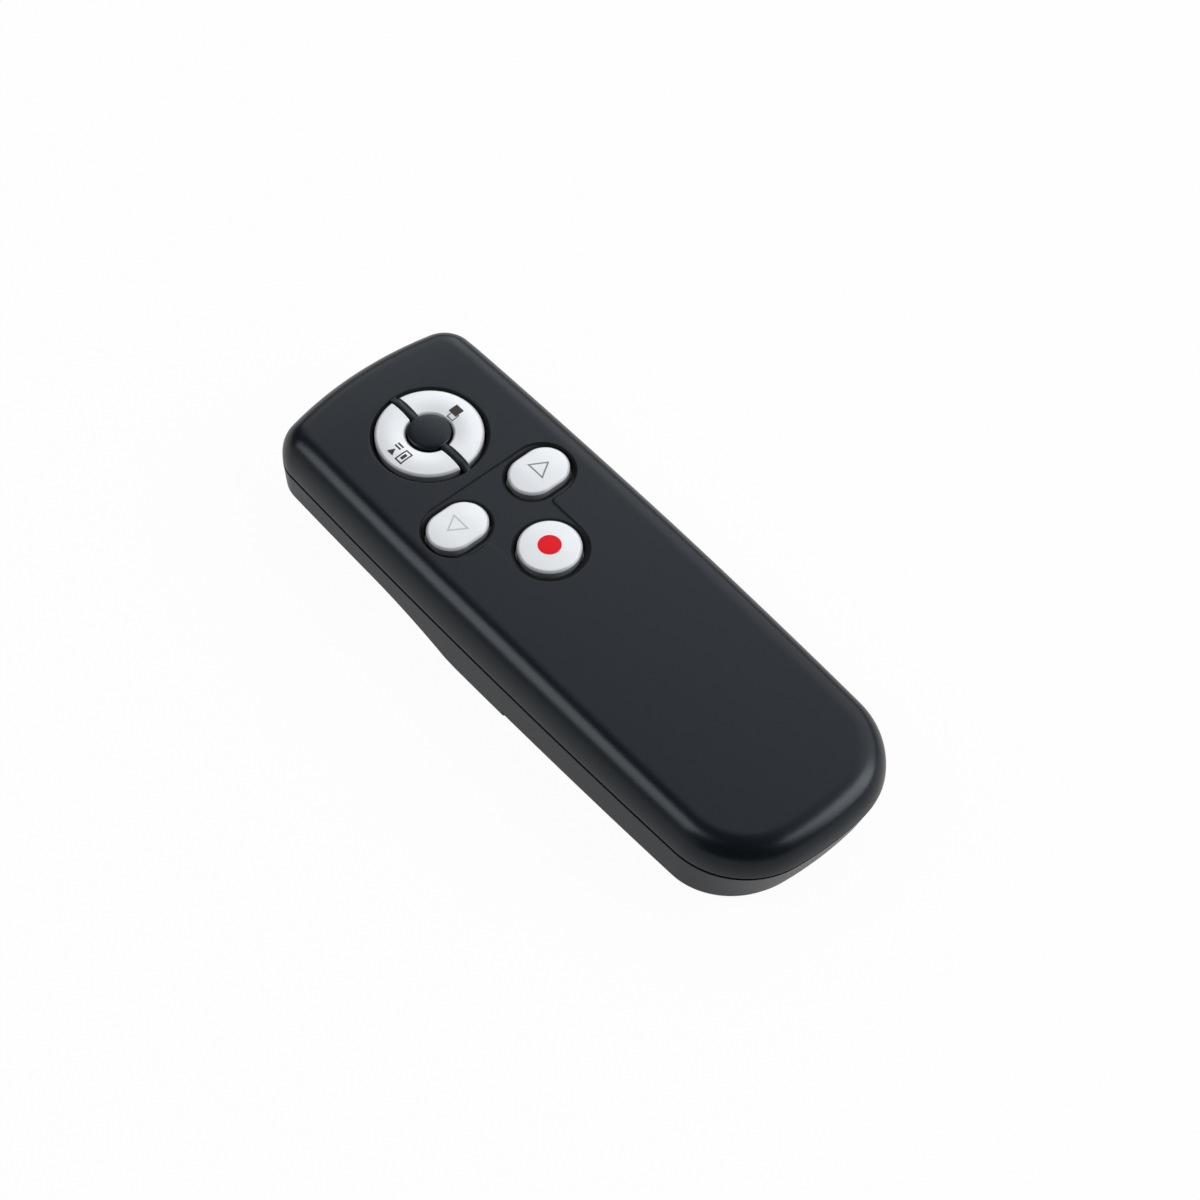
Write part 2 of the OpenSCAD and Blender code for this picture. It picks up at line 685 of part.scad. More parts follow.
// Slots in the deck that the door's hooks drop into and slide along
module hook_slots()
    for (h = HOOKS)
        box([h.x - hook_w / 2 - door_gap, h.y - hook_l / 2 - door_travel - door_gap, deck_z - eps],
            [h.x + hook_w / 2 + door_gap, h.y + hook_l / 2 + door_gap, deck_top + eps]);

// The recess that the power knob slides in, and the slot for its stem
module knob_cuts() {
    reach = knob_travel / 2 + knob_gap;
    box([-knob_w / 2 - knob_gap, knob_y - knob_l / 2 - reach, 0],
        [knob_w / 2 + knob_gap, knob_y + knob_l / 2 + reach, nose_lift + floor_t / 2]);
    box([-knob_stem_w / 2 - free_gap, knob_y - knob_stem_l / 2 - reach, 0],
        [knob_stem_w / 2 + free_gap, knob_y + knob_stem_l / 2 + reach, nose_lift + floor_t + past]);
}

module bottom_cover()
    color([0.2, 0.21, 0.23])
    difference() {
        union() {
            difference() {
                hull_form(0, split_z - reveal);
                hull_hollow();
                box([-big, -big, -past], [big, door_front_y, seam_z]);
            }
            intersection() {
                hull_form(wall / 2, split_z);
                union() {
                    box([-big, -big, deck_z], [big, door_front_y + floor_t, deck_top]);
                    box([-big, door_front_y, floor_t / 2], [big, door_front_y + floor_t, deck_top]);
                }
            }
            tongue(split_z - past, 0);
            cradle();
            for (s = CASE_SCREWS) peg(s, deck_z, split_z, post_r);
            for (s = BOARD_SCREWS) peg(s, underside(s.y) + floor_t / 2, board_z, board_post_r);
            laser_supports(nose_lift + floor_t / 2, split_z);
        }
        pocket();
        contact_slots();
        hook_slots();
        knob_cuts();
        laser_cuts();
        for (s = CASE_SCREWS) {
            peg(s, deck_z - past, screw_seat_z, case_head_r + free_gap);
            peg(s, deck_z, split_z + past, case_screw_d / 2 + free_gap);
        }
        for (s = BOARD_SCREWS)
            peg(s, board_top - board_screw_l - free_gap, board_z + past, board_screw_d / 2 + run_gap / 2);
        for (x = [-snap_x, snap_x])
            box([x - snap_w / 2 - free_gap, snap_y - snap_t - past, snap_z - free_gap],
                [x + snap_w / 2 + free_gap, snap_y + snap_hook + seat_gap, snap_z + snap_hook + seat_gap]);
    }

// ---- Battery door ----

module battery_door()
    color([0.2, 0.21, 0.23]) {
        difference() {
            intersection() {
                hull_form(door_inset, split_z);
                box([-big, -big, -past], [big, door_front_y - door_gap, seam_z - door_gap]);
            }
            intersection() {
                hull_form(door_inset + 2 * wall, split_z);
                union() {
                    box([-big, -big, door_t], [big, door_front_y - door_gap - wall, big]);
                    box([-pocket_w / 2, -big, door_t], [pocket_w / 2, door_front_y, big]);
                }
            }
            for (i = [0:grip_count - 1])
                let (y = door_front_y - grip_inset - i * grip_pitch)
                    box([-grip_l / 2, y - grip_w, -past], [grip_l / 2, y, grip_depth]);
        }
        for (h = HOOKS) {
            box([h.x - hook_w / 2, h.y - hook_l / 2, door_t - eps],
                [h.x + hook_w / 2, h.y + hook_l / 2, hook_z + hook_t]);
            box([h.x - hook_w / 2, h.y, hook_z],
                [h.x + hook_w / 2, h.y + hook_l / 2 + hook_foot, hook_z + hook_t]);
        }
    }

// ---- Board and what it carries ----

module circuit_board()
    color("darkgreen") difference() {
        intersection() {
            case_prism(board_inset, board_z, board_top);
            box([-big, board_rear_y, 0], [big, board_front_y, big]);
        }
        for (s = BOARD_SCREWS) peg(s, 0, big, board_screw_d / 2 + board_hole_gap);
    }

module switch_bodies()
    color("black") for (s = KEY_SPOTS)
        difference() {
            box([s.x - switch_w / 2, s.y - switch_w / 2, board_top],
                [s.x + switch_w / 2, s.y + switch_w / 2, switch_top]);
            peg(s, switch_top - plunger_in - key_travel - free_gap, big, plunger_d / 2 + plunger_gap);
        }

module chip(x, y, w, l, h)
    box([x - w / 2, y - l / 2, board_top], [x + w / 2, y + l / 2, board_top + h]);

module microcontroller() color("black") chip(0, mcu_y, mcu_w, mcu_w, chip_t);
module radio_chip() color("black") chip(0, radio_y, radio_w, radio_w, chip_t);
module crystal() color("silver") chip(0, crystal_y, crystal_l, crystal_w, chip_t);
// Two rows of three beside the radio chip
module capacitors()
    color("tan") for (x = [-cap_x, cap_x], k = [-1, 0, 1])
        chip(x, radio_y + cap_l * k, cap_l, cap_l / 2, cap_l / 2);

module screw(spot, head_z, up, head_r, head_h, d, l)
    translate([spot.x, spot.y, head_z]) mirror([0, 0, up ? 0 : 1]) {
        cylinder(h = l, r = d / 2);
        translate([0, 0, -head_h]) difference() {
            cylinder(h = head_h, r = head_r);
            translate([0, 0, -eps]) {
                for (turn = [0, 90]) rotate([0, 0, turn]) translate([-head_r * cross_share, -cross_w / 2, 0])
                    cube([2 * head_r * cross_share, cross_w, head_h / 2]);
            }
        }
    }

module case_screws()
    color("silver") for (s = CASE_SCREWS)
        screw(s, screw_seat_z, true, case_head_r, case_head_h, case_screw_d, case_screw_l);

module board_screws()
    color("silver") for (s = BOARD_SCREWS)
        screw(s, board_top, false, board_head_r, board_head_h, board_screw_d, board_screw_l);

// ---- Laser module ----

module laser_barrel()
    color("goldenrod") difference() {
        laser_round(barrel_rear_y, barrel_front_y - seat_gap, barrel_r);
        laser_round(barrel_rear_y - past, nose_y, barrel_bore / 2);
        laser_round(barrel_rear_y - past, barrel_rear_y + diode_rim_t, diode_rim_r + run_gap / 2);
        laser_round(barrel_front_y - lens_t - lens_lip, nose_y, lens_r + run_gap / 2);
    }

module laser_lens()
    color("lightblue") translate([0, barrel_front_y - lens_t - lens_lip, split_z]) rotate([-90, 0, 0])
        rotate_extrude() polygon(concat([[0, 0], [lens_r, 0]],
            [for (i = [0:lens_steps]) let (f = 1 - i / lens_steps) [lens_r * f, lens_t * (1 - f * f / 2)]]));

module laser_diode()
    color("gold") {
        laser_round(barrel_rear_y, barrel_rear_y + diode_rim_t, diode_rim_r);
        laser_round(barrel_rear_y + diode_rim_t - eps, barrel_rear_y + diode_rim_t + diode_can_l,
            barrel_bore / 2 - free_gap);
        for (x = [-lead_pitch, 0, lead_pitch])
            translate([x, barrel_rear_y - lead_l, board_top + lead_r + eps]) rotate([-90, 0, 0])
                cylinder(h = lead_l + eps, r = lead_r);
    }

module laser_window()
    color("darkred") {
        rim_y = barrel_front_y + 1.5 * seat_gap;
        laser_round(rim_y, rim_y + window_rim_t, window_d / 2 + window_rim);
        laser_round(rim_y, nose_y - window_set, window_d / 2);
    }

// ---- Power switch ----

module power_switch_body()
    color("black") difference() {
        reach = (knob_stem_l + knob_travel) / 2 + stem_gap;
        box([-slide_body_w / 2, knob_y - slide_body_l / 2, slide_body_z],
            [slide_body_w / 2, knob_y + slide_body_l / 2, board_z]);
        box([-knob_stem_w / 2 - stem_gap, knob_y - reach, 0],
            [knob_stem_w / 2 + stem_gap, knob_y + reach, slide_body_z + knob_stem_in + free_gap]);
    }

module power_knob() {
    y = knob_y - knob_travel / 2;
    color([0.12, 0.12, 0.13]) {
        box([-knob_w / 2, y - knob_l / 2, nose_lift - knob_proud],
            [knob_w / 2, y + knob_l / 2, nose_lift + floor_t / 2 - seat_gap]);
        box([-knob_stem_w / 2, y - knob_stem_l / 2, nose_lift],
            [knob_stem_w / 2, y + knob_stem_l / 2, slide_body_z + knob_stem_in]);
    }
}

// ---- Cells and contacts ----

// A cell along Y from its flat end, with its nub at the other end
module cell(x, y, forward)
    translate([x, y, cell_z]) rotate([forward ? -90 : 90, 0, 0])
        rotate_extrude() polygon([[0, 0], [cell_r - cell_round, 0], [cell_r, cell_round],
            [cell_r, cell_l - nub_h - cell_round], [cell_r - cell_round, cell_l - nub_h],
            [nub_r, cell_l - nub_h], [nub_r, cell_l - nub_round], [nub_r - nub_round, cell_l], [0, cell_l]]);

module battery_left() color("seagreen") cell(-cell_x, rear_plate_y + spring_l, true);
module battery_right() color("seagreen") cell(cell_x, front_plate_y - spring_l, false);

module plate(x0, x1, y)
    box([x0, y, cell_z - contact_w / 2], [x1, y + plate_t, cell_z + contact_w / 2]);

module link_contact() color("silver") plate(-cell_x - contact_w / 2, cell_x + contact_w / 2, pocket_rear_y);

module front_contact(x) {
    plate(x - contact_w / 2, x + contact_w / 2, front_plate_y);
    box([x - solder_w / 2, front_plate_y, board_top],
        [x + solder_w / 2, board_rear_y + solder_l, board_top + plate_t]);
}
module positive_contact() color("silver") front_contact(-cell_x);
module negative_contact() color("silver") front_contact(cell_x);

// A conical coil that stands on its wide end
module coil(length, r0, r1) {
    count = spring_turns * spring_steps;
    rise = length - spring_wire - 2 * eps;
    loft([for (i = [0:count])
        let (a = 360 * i / spring_steps, r = r0 + (r1 - r0) * i / count,
            z = spring_wire / 2 + eps + rise * i / count)
        [for (k = [0:spring_sides - 1]) let (b = 360 * k / spring_sides, w = spring_wire / 2)
            [(r + w * cos(b)) * cos(a), (r + w * cos(b)) * sin(a), z - w * sin(b)]]]);
}
module link_spring()
    color("silver") translate([-cell_x, rear_plate_y, cell_z]) rotate([-90, 0, 0])
        coil(spring_l, spring_foot_r, spring_tip_r);
module negative_spring()
    color("silver") translate([cell_x, front_plate_y, cell_z]) rotate([90, 0, 0])
        coil(spring_l, spring_foot_r, spring_tip_r);

top_cover();
bottom_cover();
battery_door();
slideshow_key();
blank_screen_key();
previous_key();
next_key();
laser_key();
slideshow_plunger();
blank_screen_plunger();
previous_plunger();
next_plunger();
laser_plunger();
switch_bodies();
circuit_board();
microcontroller();
radio_chip();
crystal();
capacitors();
board_screws();
case_screws();
laser_barrel();
laser_lens();
laser_diode();
laser_window();
power_switch_body();
power_knob();
battery_left();
battery_right();
link_contact();
link_spring();
positive_contact();
negative_contact();
negative_spring();
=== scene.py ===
"""A wireless presentation clicker: two satin shells, five pale keys with their marks, and what they hold."""

from math import atan2, cos, hypot, pi, radians, sin, sqrt

import bmesh
import bpy
from bmesh.types import BMEdge, BMVert
from mathutils import Matrix, Vector

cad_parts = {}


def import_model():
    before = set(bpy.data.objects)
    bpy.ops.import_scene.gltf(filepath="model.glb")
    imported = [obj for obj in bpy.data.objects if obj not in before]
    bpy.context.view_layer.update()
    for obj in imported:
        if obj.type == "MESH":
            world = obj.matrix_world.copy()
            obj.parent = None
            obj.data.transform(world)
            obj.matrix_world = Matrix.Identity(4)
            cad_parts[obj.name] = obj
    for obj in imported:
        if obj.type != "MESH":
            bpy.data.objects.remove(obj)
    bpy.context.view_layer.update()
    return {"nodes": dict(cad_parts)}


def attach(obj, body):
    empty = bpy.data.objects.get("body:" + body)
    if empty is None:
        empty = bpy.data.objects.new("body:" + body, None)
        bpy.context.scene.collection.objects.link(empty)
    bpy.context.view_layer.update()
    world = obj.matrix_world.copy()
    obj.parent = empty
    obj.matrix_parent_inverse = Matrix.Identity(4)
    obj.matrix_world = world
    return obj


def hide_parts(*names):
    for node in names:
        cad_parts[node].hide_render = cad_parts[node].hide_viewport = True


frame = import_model()
MM = 0.001

# ---- Sizes in millimetres. +Y is the laser end, Z = 0 the face it rests on ----

# The case: outline, heights, walls and parting line
BODY_L, BODY_W = 112, 38.3
NOSE_Y, TAIL_Y = BODY_L / 2, -BODY_L / 2
SIDE_BOW = 1                                                # each side comes in by this much at both ends
TAIL_CORNER_R, NOSE_CORNER_R = 13.4, 5.9
TAIL_BULGE, NOSE_BULGE = 3.2, 3
SPLIT_Z, TOP_RISE = 9.2, 6.6
TOP_Z = SPLIT_Z + TOP_RISE
WALL, CEILING_T, FLOOR_T, INNER_LAP = 1.6, 1.8, 1.4, 0.2
CEILING_Z = TOP_Z - CEILING_T
SHOULDER_W, SHOULDER_POWER = 4.6, 2.4
SHOULDER_START, INNER_START = radians(3), radians(20)       # where the shoulder's curve begins, out and in
EDGE_R, SIDE_DRAFT = 1.3, 0.3
TAIL_RAKE, RAKE_L = 2.8, 26                                 # the tail's lean below the parting line
REVEAL, TONGUE_H, TONGUE_GAP = 0.5, 1.0, 0.15               # the gap on that line, and the tongue behind it
LIP_Y, RAMP_L, NOSE_LIFT = 10, 19, 2.5                      # the finger ramp under the nose
KEYS_REAR_Y, KEYS_FRONT_Y = 1.4, 45.85                      # the top is level between these
TAIL_FALL, NOSE_FALL, FALL_POWER, INNER_FALL = 1.1, 1, 1.4, 0.5

# The keys and their wells
RING_Y, PAIR_Y, LASER_Y = 36.5, 19.9, 7.8
PAIR_X, PAIR_FLAT, PAIR_R = 8.1, 2.5, 3.85
RING_R, HUB_R, LASER_R = 8.5, 3.45, 5
KEY_GAP, KEY_BEVEL, KEY_CUT_R = 0.25, 0.5, 0.2
KEY_SIDE, KEY_RISE, KEY_CROWN = 0.25, 0.65, 0.25
SIDE_Z, RIM_Z = TOP_Z + KEY_SIDE, TOP_Z + KEY_RISE          # the foot and the top of a key's bevel
RING_INNER_R = HUB_R + KEY_GAP
RING_HALF = (RING_R - RING_INNER_R) / 2
FLANGE_Z, FLANGE_T, FLANGE_W = 13.1, 0.8, 0.9
WELL_R, RING_CHAMFER, WELL_CHAMFER = 8.75, 0.6, 0.4

# The ring's hub and bars. Heights count from the rim of the keys
HUB_CROWN = ((0, 0.42), (0.25, 0.41), (0.5, 0.38), (0.75, 0.32))    # share of its radius, height
HUB_EDGE = ((0.25, 0.26), (0, 0.22), (0, -0.05))                    # distance in from its side, height
BAR_W, BAR_LAP, BAR_RISE, BAR_SINK, BAR_EDGE_R = 1.1, 0.5, 0.05, 0.02, 0.07
BAR_BEND = ((-0.3, 0), (0.1, -0.08))                                # distance out from the bevel, height

# The T-shaped panel round the rear three keys
PANEL_DEPTH, PANEL_SLOPE, PANEL_FILLET = 0.25, 0.26, 0.05
PANEL_Z = TOP_Z - PANEL_DEPTH
BAR_PANEL_R, STEM_PANEL_R, PANEL_INNER_R = 5.15, 6.0, 0.8
PANEL_END = 0.7                                             # from a pill-shaped key to the panel's end

# The marks on the keys; a rectangle is its middle's x and y, its width and its length
MARK_T, MARK_RISE, MARK_EDGE, MARK_CUTS = 0.06, 0.012, 0.5, 4
ARROW_TIP_X, ARROW_BACK_X, ARROW_SPREAD, ARROW_STROKE = 10.25, 7.3, 1.85, 0.26
DOT_R = 1.85
FRONT_SCREEN, BACK_SCREEN, SCREEN_STROKE = (5.75, RING_Y + 0.4, 1.7, 1.7), (4.75, RING_Y, 1.4, 1.4), 0.16
START_Y, STOP_X, STOP_Y = RING_Y + 0.75, -6.15, RING_Y - 1.3
START_BACK_X, START_TIP_X, START_SPREAD = -7.3, -6.1, 0.65
PAUSE_BARS = (-5.65, START_Y, 0.32, 1.3), (-5.05, START_Y, 0.32, 1.3)
STOP_FRAME, STOP_SQUARE, STOP_STROKE = (STOP_X, STOP_Y, 2.5, 1.5), (STOP_X, STOP_Y, 1.1, 0.55), 0.24

# The battery door, the laser's window and the power knob
DOOR_FRONT_Y, DOOR_GAP, DOOR_INSET, DOOR_T = -3, 0.15, 0.2, 1.2
SEAM_Z = 1.8                                                # top of the door's seam in the lower shell
GRIPS, GRIP_PITCH, GRIP_L, GRIP_W, GRIP_DEPTH, GRIP_INSET = 5, 1.6, 14, 0.8, 0.3, 5.2
WINDOW_R, WINDOW_DEPTH = 2.45, 3
KNOB_Y, KNOB_L, KNOB_W, KNOB_TRAVEL, KNOB_GAP = 36, 4, 5, 2.5, 0.3

# What the case holds
BOARD_TOP, SWITCH_TOP, LID_T = 8.8, 12.2, 0.3
TRACK_PITCH, TRACK_W, TRACK_PATCH = 0.8, 0.34, 4
PAD_PITCH, PAD_R = 3.1, 0.32
CHIP_Y, CHIP_HALF = 16.63, 2.5
RADIO_Y, RADIO_HALF = 26.21, 2
PIN_H, PIN_PITCH, PIN_W, DIMPLE_R, DIMPLE_INSET = 0.3, 0.5, 0.26, 0.3, 0.6
CAP_X, CAP_L, CAP_TIN = 3.6, 1.6, 0.3                       # the last is the share from its middle to the tin
CRYSTAL_RIM = 0.18
LEFT_CELL, RIGHT_CELL = (-46.3, -1.8), (-4.8, -49.3)        # y of the minus and of the plus end
CELL_LINE, CELL_BAND, CELL_BAND_END, CELL_STEEL = 0.735, 0.76, 0.96, 0.978      # shares of its length
BRASS_PITCH, KNOB_RIDGE_PITCH = 0.16, 0.6

# How much a surface faces an axis, from 0 to 1, where its finish or its painted shade changes
# The first two are where a key's painted side shade begins and where it is full
KEY_TOP_FACING, KEY_SIDE_FACING = 0.97, 0.4
FLAT_FACING, STEP_FACING, END_FACING = 0.5, 0.8, 0.8

# Fine detail of the meshes
EDGE_FILLET = 0.12          # small radius on every moulded edge
FILLET_RUN = 0.7            # how much of it runs down or across a chamfer
SUPPORT = 0.12              # flat ring that keeps a fillet's shading off a flat face
PAST = 1                    # how far a cut reaches past what it cuts
HUB_MARGIN, STEP_MARGIN, RIM_MARGIN = 0.05, 0.01, 0.02      # where a seam's painted shade stops beside other faces
SMOOTH_ANGLE, COPLANAR = radians(38), radians(1)
FACE_WEIGHT = 80
MERGE, CAD_MERGE, LEVEL = 0.0005, 0.001, 0.001              # how near points are merged, and a face is level
END_STEPS, CORNER_STEPS, SIDE_STEPS, PILL_STEPS, PANEL_STEPS = 12, 22, 36, 28, 6
LASER_WELL_STEPS, LASER_KEY_STEPS, RING_WELL_STEPS, RING_KEY_STEPS = 96, 128, 144, 160
HUB_STEPS, HUB_EDGE_STEPS, BORE_STEPS, DOT_STEPS = 96, 5, 64, 64
SHOULDER_STEPS, INNER_STEPS, EDGE_STEPS, BEVEL_STEPS = 30, 10, 8, 7
CROWN_SHARES = (0.08, 0.2, 0.35, 0.5, 0.65, 0.8, 0.92)      # where a key's crown has its rings


# ---- Outlines: lists of points that run anticlockwise ----

def arc(x, y, r, start, end, steps):
    """Points on an arc round (x, y), from one angle to another."""
    return [(x + r * cos(start + (end - start) * i / steps), y + r * sin(start + (end - start) * i / steps))
            for i in range(steps + 1)]


def mirrored(half):
    """Closes a half outline, which starts and ends on the centre line, with its mirror image."""
    return half + [(-x, y) for x, y in half[-2:0:-1]]


def end_radius(bulge):
    """Radius of an end of the case that bulges by that much."""
    return ((BODY_W / 2) ** 2 + bulge ** 2) / (2 * bulge)


def corner_drop(bulge, r):
    """How far the centre of a corner lies along the case from the centre of its end."""
    return sqrt((end_radius(bulge) - r) ** 2 - (BODY_W / 2 - r) ** 2)


TAIL_CENTRE_Y = -BODY_L / 2 + end_radius(TAIL_BULGE)
NOSE_CENTRE_Y = BODY_L / 2 - end_radius(NOSE_BULGE)
TAIL_CORNER_Y = TAIL_CENTRE_Y - corner_drop(TAIL_BULGE, TAIL_CORNER_R)
NOSE_CORNER_Y = NOSE_CENTRE_Y + corner_drop(NOSE_BULGE, NOSE_CORNER_R)
TAIL_TURN = atan2(corner_drop(TAIL_BULGE, TAIL_CORNER_R), BODY_W / 2 - TAIL_CORNER_R)
NOSE_TURN = atan2(corner_drop(NOSE_BULGE, NOSE_CORNER_R), BODY_W / 2 - NOSE_CORNER_R)


def case_outline(inset):
    """The case seen from above, drawn in by the inset all round."""
    side = NOSE_CORNER_Y - TAIL_CORNER_Y
    half = (
        arc(0, TAIL_CENTRE_Y, end_radius(TAIL_BULGE) - inset, -pi / 2, -TAIL_TURN, END_STEPS)[:-1]
        + arc(BODY_W / 2 - TAIL_CORNER_R, TAIL_CORNER_Y, TAIL_CORNER_R - inset, -TAIL_TURN, 0, CORNER_STEPS)
        + [(BODY_W / 2 - inset, TAIL_CORNER_Y + side * i / SIDE_STEPS) for i in range(1, SIDE_STEPS)]
        + arc(BODY_W / 2 - NOSE_CORNER_R, NOSE_CORNER_Y, NOSE_CORNER_R - inset, 0, NOSE_TURN, CORNER_STEPS)
        + arc(0, NOSE_CENTRE_Y, end_radius(NOSE_BULGE) - inset, NOSE_TURN, pi / 2, END_STEPS)[1:])
    return mirrored([(x * (1 - 2 * SIDE_BOW / BODY_W * (2 * y / BODY_L) ** 2), y) for x, y in half])


def underside(y):
    """Height of the case's underside: flat to the lip, then the finger ramp."""
    if y <= LIP_Y:
        return 0
    return NOSE_LIFT * (1 - max(0, 1 - (y - LIP_Y) / RAMP_L) ** 2)


def top_fall(y):
    """How far the top face lies below its height at the keys."""
    if y < KEYS_REAR_Y:
        return TAIL_FALL * ((KEYS_REAR_Y - y) / (KEYS_REAR_Y - TAIL_Y)) ** FALL_POWER
    return NOSE_FALL * (max(0, y - KEYS_FRONT_Y) / (NOSE_Y - KEYS_FRONT_Y)) ** FALL_POWER


def pill_outline(x, r):
    half = [(0, -r)] + arc(PAIR_FLAT / 2, 0, r, -pi / 2, pi / 2, PILL_STEPS) + [(0, r)]
    return [(x + px, PAIR_Y + py) for px, py in mirrored(half)]


def round_outline(y, r, steps):
    return arc(0, y, r, 0, 2 * pi, steps)[:-1]


def panel_outline(grow):
    """The T-shaped panel: a bar round the pair of keys and a stem round the laser key."""
    bar_r, stem_r, inner_r = BAR_PANEL_R + grow, STEM_PANEL_R + grow, PANEL_INNER_R - grow
    bar_x = PAIR_X + PAIR_FLAT / 2 + PAIR_R + PANEL_END - BAR_PANEL_R
    half = (arc(0, LASER_Y, stem_r, -pi / 2, 0, PILL_STEPS)
            + arc(stem_r + inner_r, PAIR_Y - bar_r - inner_r, inner_r, pi, pi / 2, PANEL_STEPS)
            + arc(bar_x, PAIR_Y, bar_r, -pi / 2, pi / 2, PILL_STEPS) + [(0, PAIR_Y + bar_r)])
    return mirrored(half)


# ---- Mesh work: rings of vertices are extruded and laid onto the next outline ----

def lay(ring, outline, z):
    """Lays the ring on the outline. Below the parting line the tail leans in."""
    for vert, (x, y) in zip(ring, outline):
        height = z(y) if callable(z) else z
        lean = TAIL_RAKE * max(0, 1 - height / SPLIT_Z) * max(0, TAIL_Y + RAKE_L - y) / RAKE_L
        vert.co = x, y + lean, height


def ring_edges(bm, ring):
    return [bm.edges.get(pair) for pair in zip(ring, ring[1:] + ring[:1])]


def start_ring(bm, outline, z):
    ring = bmesh.ops.create_circle(bm, cap_ends=False, segments=len(outline), radius=1)["verts"]
    lay(ring, outline, z)
    return ring


def of_kind(geom, kind):
    return [g for g in geom if isinstance(g, kind)]


def next_ring(bm, ring, outline, z):
    """Extrudes the ring and lays the new one onto an outline with as many points."""
    made = bmesh.ops.extrude_edge_only(bm, edges=ring_edges(bm, ring))["geom"]
    new = set(of_kind(made, BMVert))
    ring = [next(e.other_vert(v) for e in v.link_edges if e.other_vert(v) in new) for v in ring]
    lay(ring, outline, z)
    return ring


def stack(bm, outline, levels):
    """Skins outline(amount) at z for each (amount, z); returns the first and the last ring."""
    first = ring = start_ring(bm, outline(levels[0][0]), levels[0][1])
    for amount, z in levels[1:]:
        ring = next_ring(bm, ring, outline(amount), z)
    return first, ring


def fill_flat(bm, *rings):
    """Fills a flat face between an outer ring and the rings of its holes."""
    edges = [edge for ring in rings for edge in ring_edges(bm, ring)]
    bmesh.ops.triangle_fill(bm, use_beauty=True, use_dissolve=False, edges=edges, normal=(0, 0, 1))


def fill_across(bm, ring):
    """Closes a mirrored ring with strips from side to side."""
    half = len(ring) // 2
    bm.faces.new((ring[0], ring[1], ring[-1]))
    for j in range(1, half - 1):
        bm.faces.new((ring[j], ring[j + 1], ring[-j - 1], ring[-j]))
    bm.faces.new((ring[half - 1], ring[half], ring[half + 1]))


def fillet(start, corner, end, steps=3):
    """Points that round the corner of a profile from start to end."""
    return [tuple((1 - t) ** 2 * a + 2 * t * (1 - t) * b + t * t * c for a, b, c in zip(start, corner, end))
            for t in (i / steps for i in range(steps + 1))]


def revolve(bm, profile, y, steps):
    """Turns a profile of (radius, z) about the upright line at y."""
    verts = [bm.verts.new((r, y, z)) for r, z in profile]
    edges = [bm.edges.new(pair) for pair in zip(verts, verts[1:])]
    if profile[0][0] > 0:
        edges.append(bm.edges.new((verts[-1], verts[0])))
    bmesh.ops.spin(bm, geom=verts + edges, cent=(0, y, 0), axis=(0, 0, 1), angle=2 * pi, steps=steps,
                   use_merge=True)
    bmesh.ops.remove_doubles(bm, verts=bm.verts, dist=MERGE)


def add_box(bm, low, high):
    verts = bmesh.ops.create_cube(bm, size=1)["verts"]
    bmesh.ops.scale(bm, vec=[b - a for a, b in zip(low, high)], verts=verts)
    bmesh.ops.translate(bm, vec=[(a + b) / 2 for a, b in zip(low, high)], verts=verts)


def soften(bm, edges, offset, segments=2):
    """Rounds the edges."""
    bmesh.ops.bevel(bm, geom=list(edges), offset=offset, segments=segments, profile=0.5, affect="EDGES",
                    material=-1, clamp_overlap=True)


def to_object(bm, name):
    bmesh.ops.recalc_face_normals(bm, faces=bm.faces)
    mesh = bpy.data.meshes.new(name)
    bm.to_mesh(mesh)
    bm.free()
    piece = bpy.data.objects.new(name, mesh)
    bpy.context.scene.collection.objects.link(piece)
    return piece


def to_mesh(bm, name):
    """Turns a bmesh in millimetres into a smooth mesh object in metres."""
    bmesh.ops.scale(bm, vec=(MM, MM, MM), verts=bm.verts)
    piece = to_object(bm, name)
    piece.data.polygons.foreach_set("use_smooth", [True] * len(piece.data.polygons))
    piece.data.set_sharp_from_angle(angle=SMOOTH_ANGLE)
    return piece


def combine(bm, operation, tool_bm):
    """Cuts, keeps or adds what lies in the tool, in millimetres, and returns the new bmesh."""
    base, tool = to_object(bm, "base"), to_object(tool_bm, "tool")
    change = base.modifiers.new("change", "BOOLEAN")
    change.operation = operation
    change.solver = "EXACT"
    change.object = tool
    made = bpy.data.meshes.new_from_object(base.evaluated_get(bpy.context.evaluated_depsgraph_get()))
    result = bmesh.new()
    result.from_mesh(made)
    for piece in (base, tool):
        bpy.data.objects.remove(piece)
    return result


def paint_seam_shade(piece, in_seam):
    """Paints the shade that falls inside a seam or a well onto its faces."""
    piece.data.materials.append(PAINTED_SEAM_SHADE)
    for face in piece.data.polygons:
        if in_seam(*(face.center / MM), face.normal.z):
            face.material_index = 1


def keep_flats_flat(piece):
    """Weighs the shading at each corner by its faces' size, so a cut doesn't streak the flat round it."""
    weigh = piece.modifiers.new("face_weight", "WEIGHTED_NORMAL")
    weigh.weight = FACE_WEIGHT
    weigh.keep_sharp = True
    return piece


def finish_piece(piece, material, body, slot, *nodes):
    """Gives a piece its material and the body that it rides on, and hides the nodes that it replaces; slot is
    not used.
    """
    piece.data.materials.append(material)
    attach(piece, body)
    if nodes:
        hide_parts(*nodes)
    return piece


# ---- Materials ----

class Signal:
    """A node's output, on which arithmetic adds Math nodes."""

    def __init__(self, shader, socket):
        self.shader = shader
        self.socket = socket

    def math(self, operation, *values):
        return self.shader.math(operation, *values)

    def __add__(self, other):
        return self.math("ADD", self, other)

    def __sub__(self, other):
        return self.math("SUBTRACT", self, other)

    def __rsub__(self, other):
        return self.math("SUBTRACT", other, self)

    def __mul__(self, other):
        return self.math("MULTIPLY", self, other)

    def __gt__(self, other):
        return self.math("GREATER_THAN", self, other)

    def __lt__(self, other):
        return self.math("LESS_THAN", self, other)

    __radd__ = __add__
    __rmul__ = __mul__


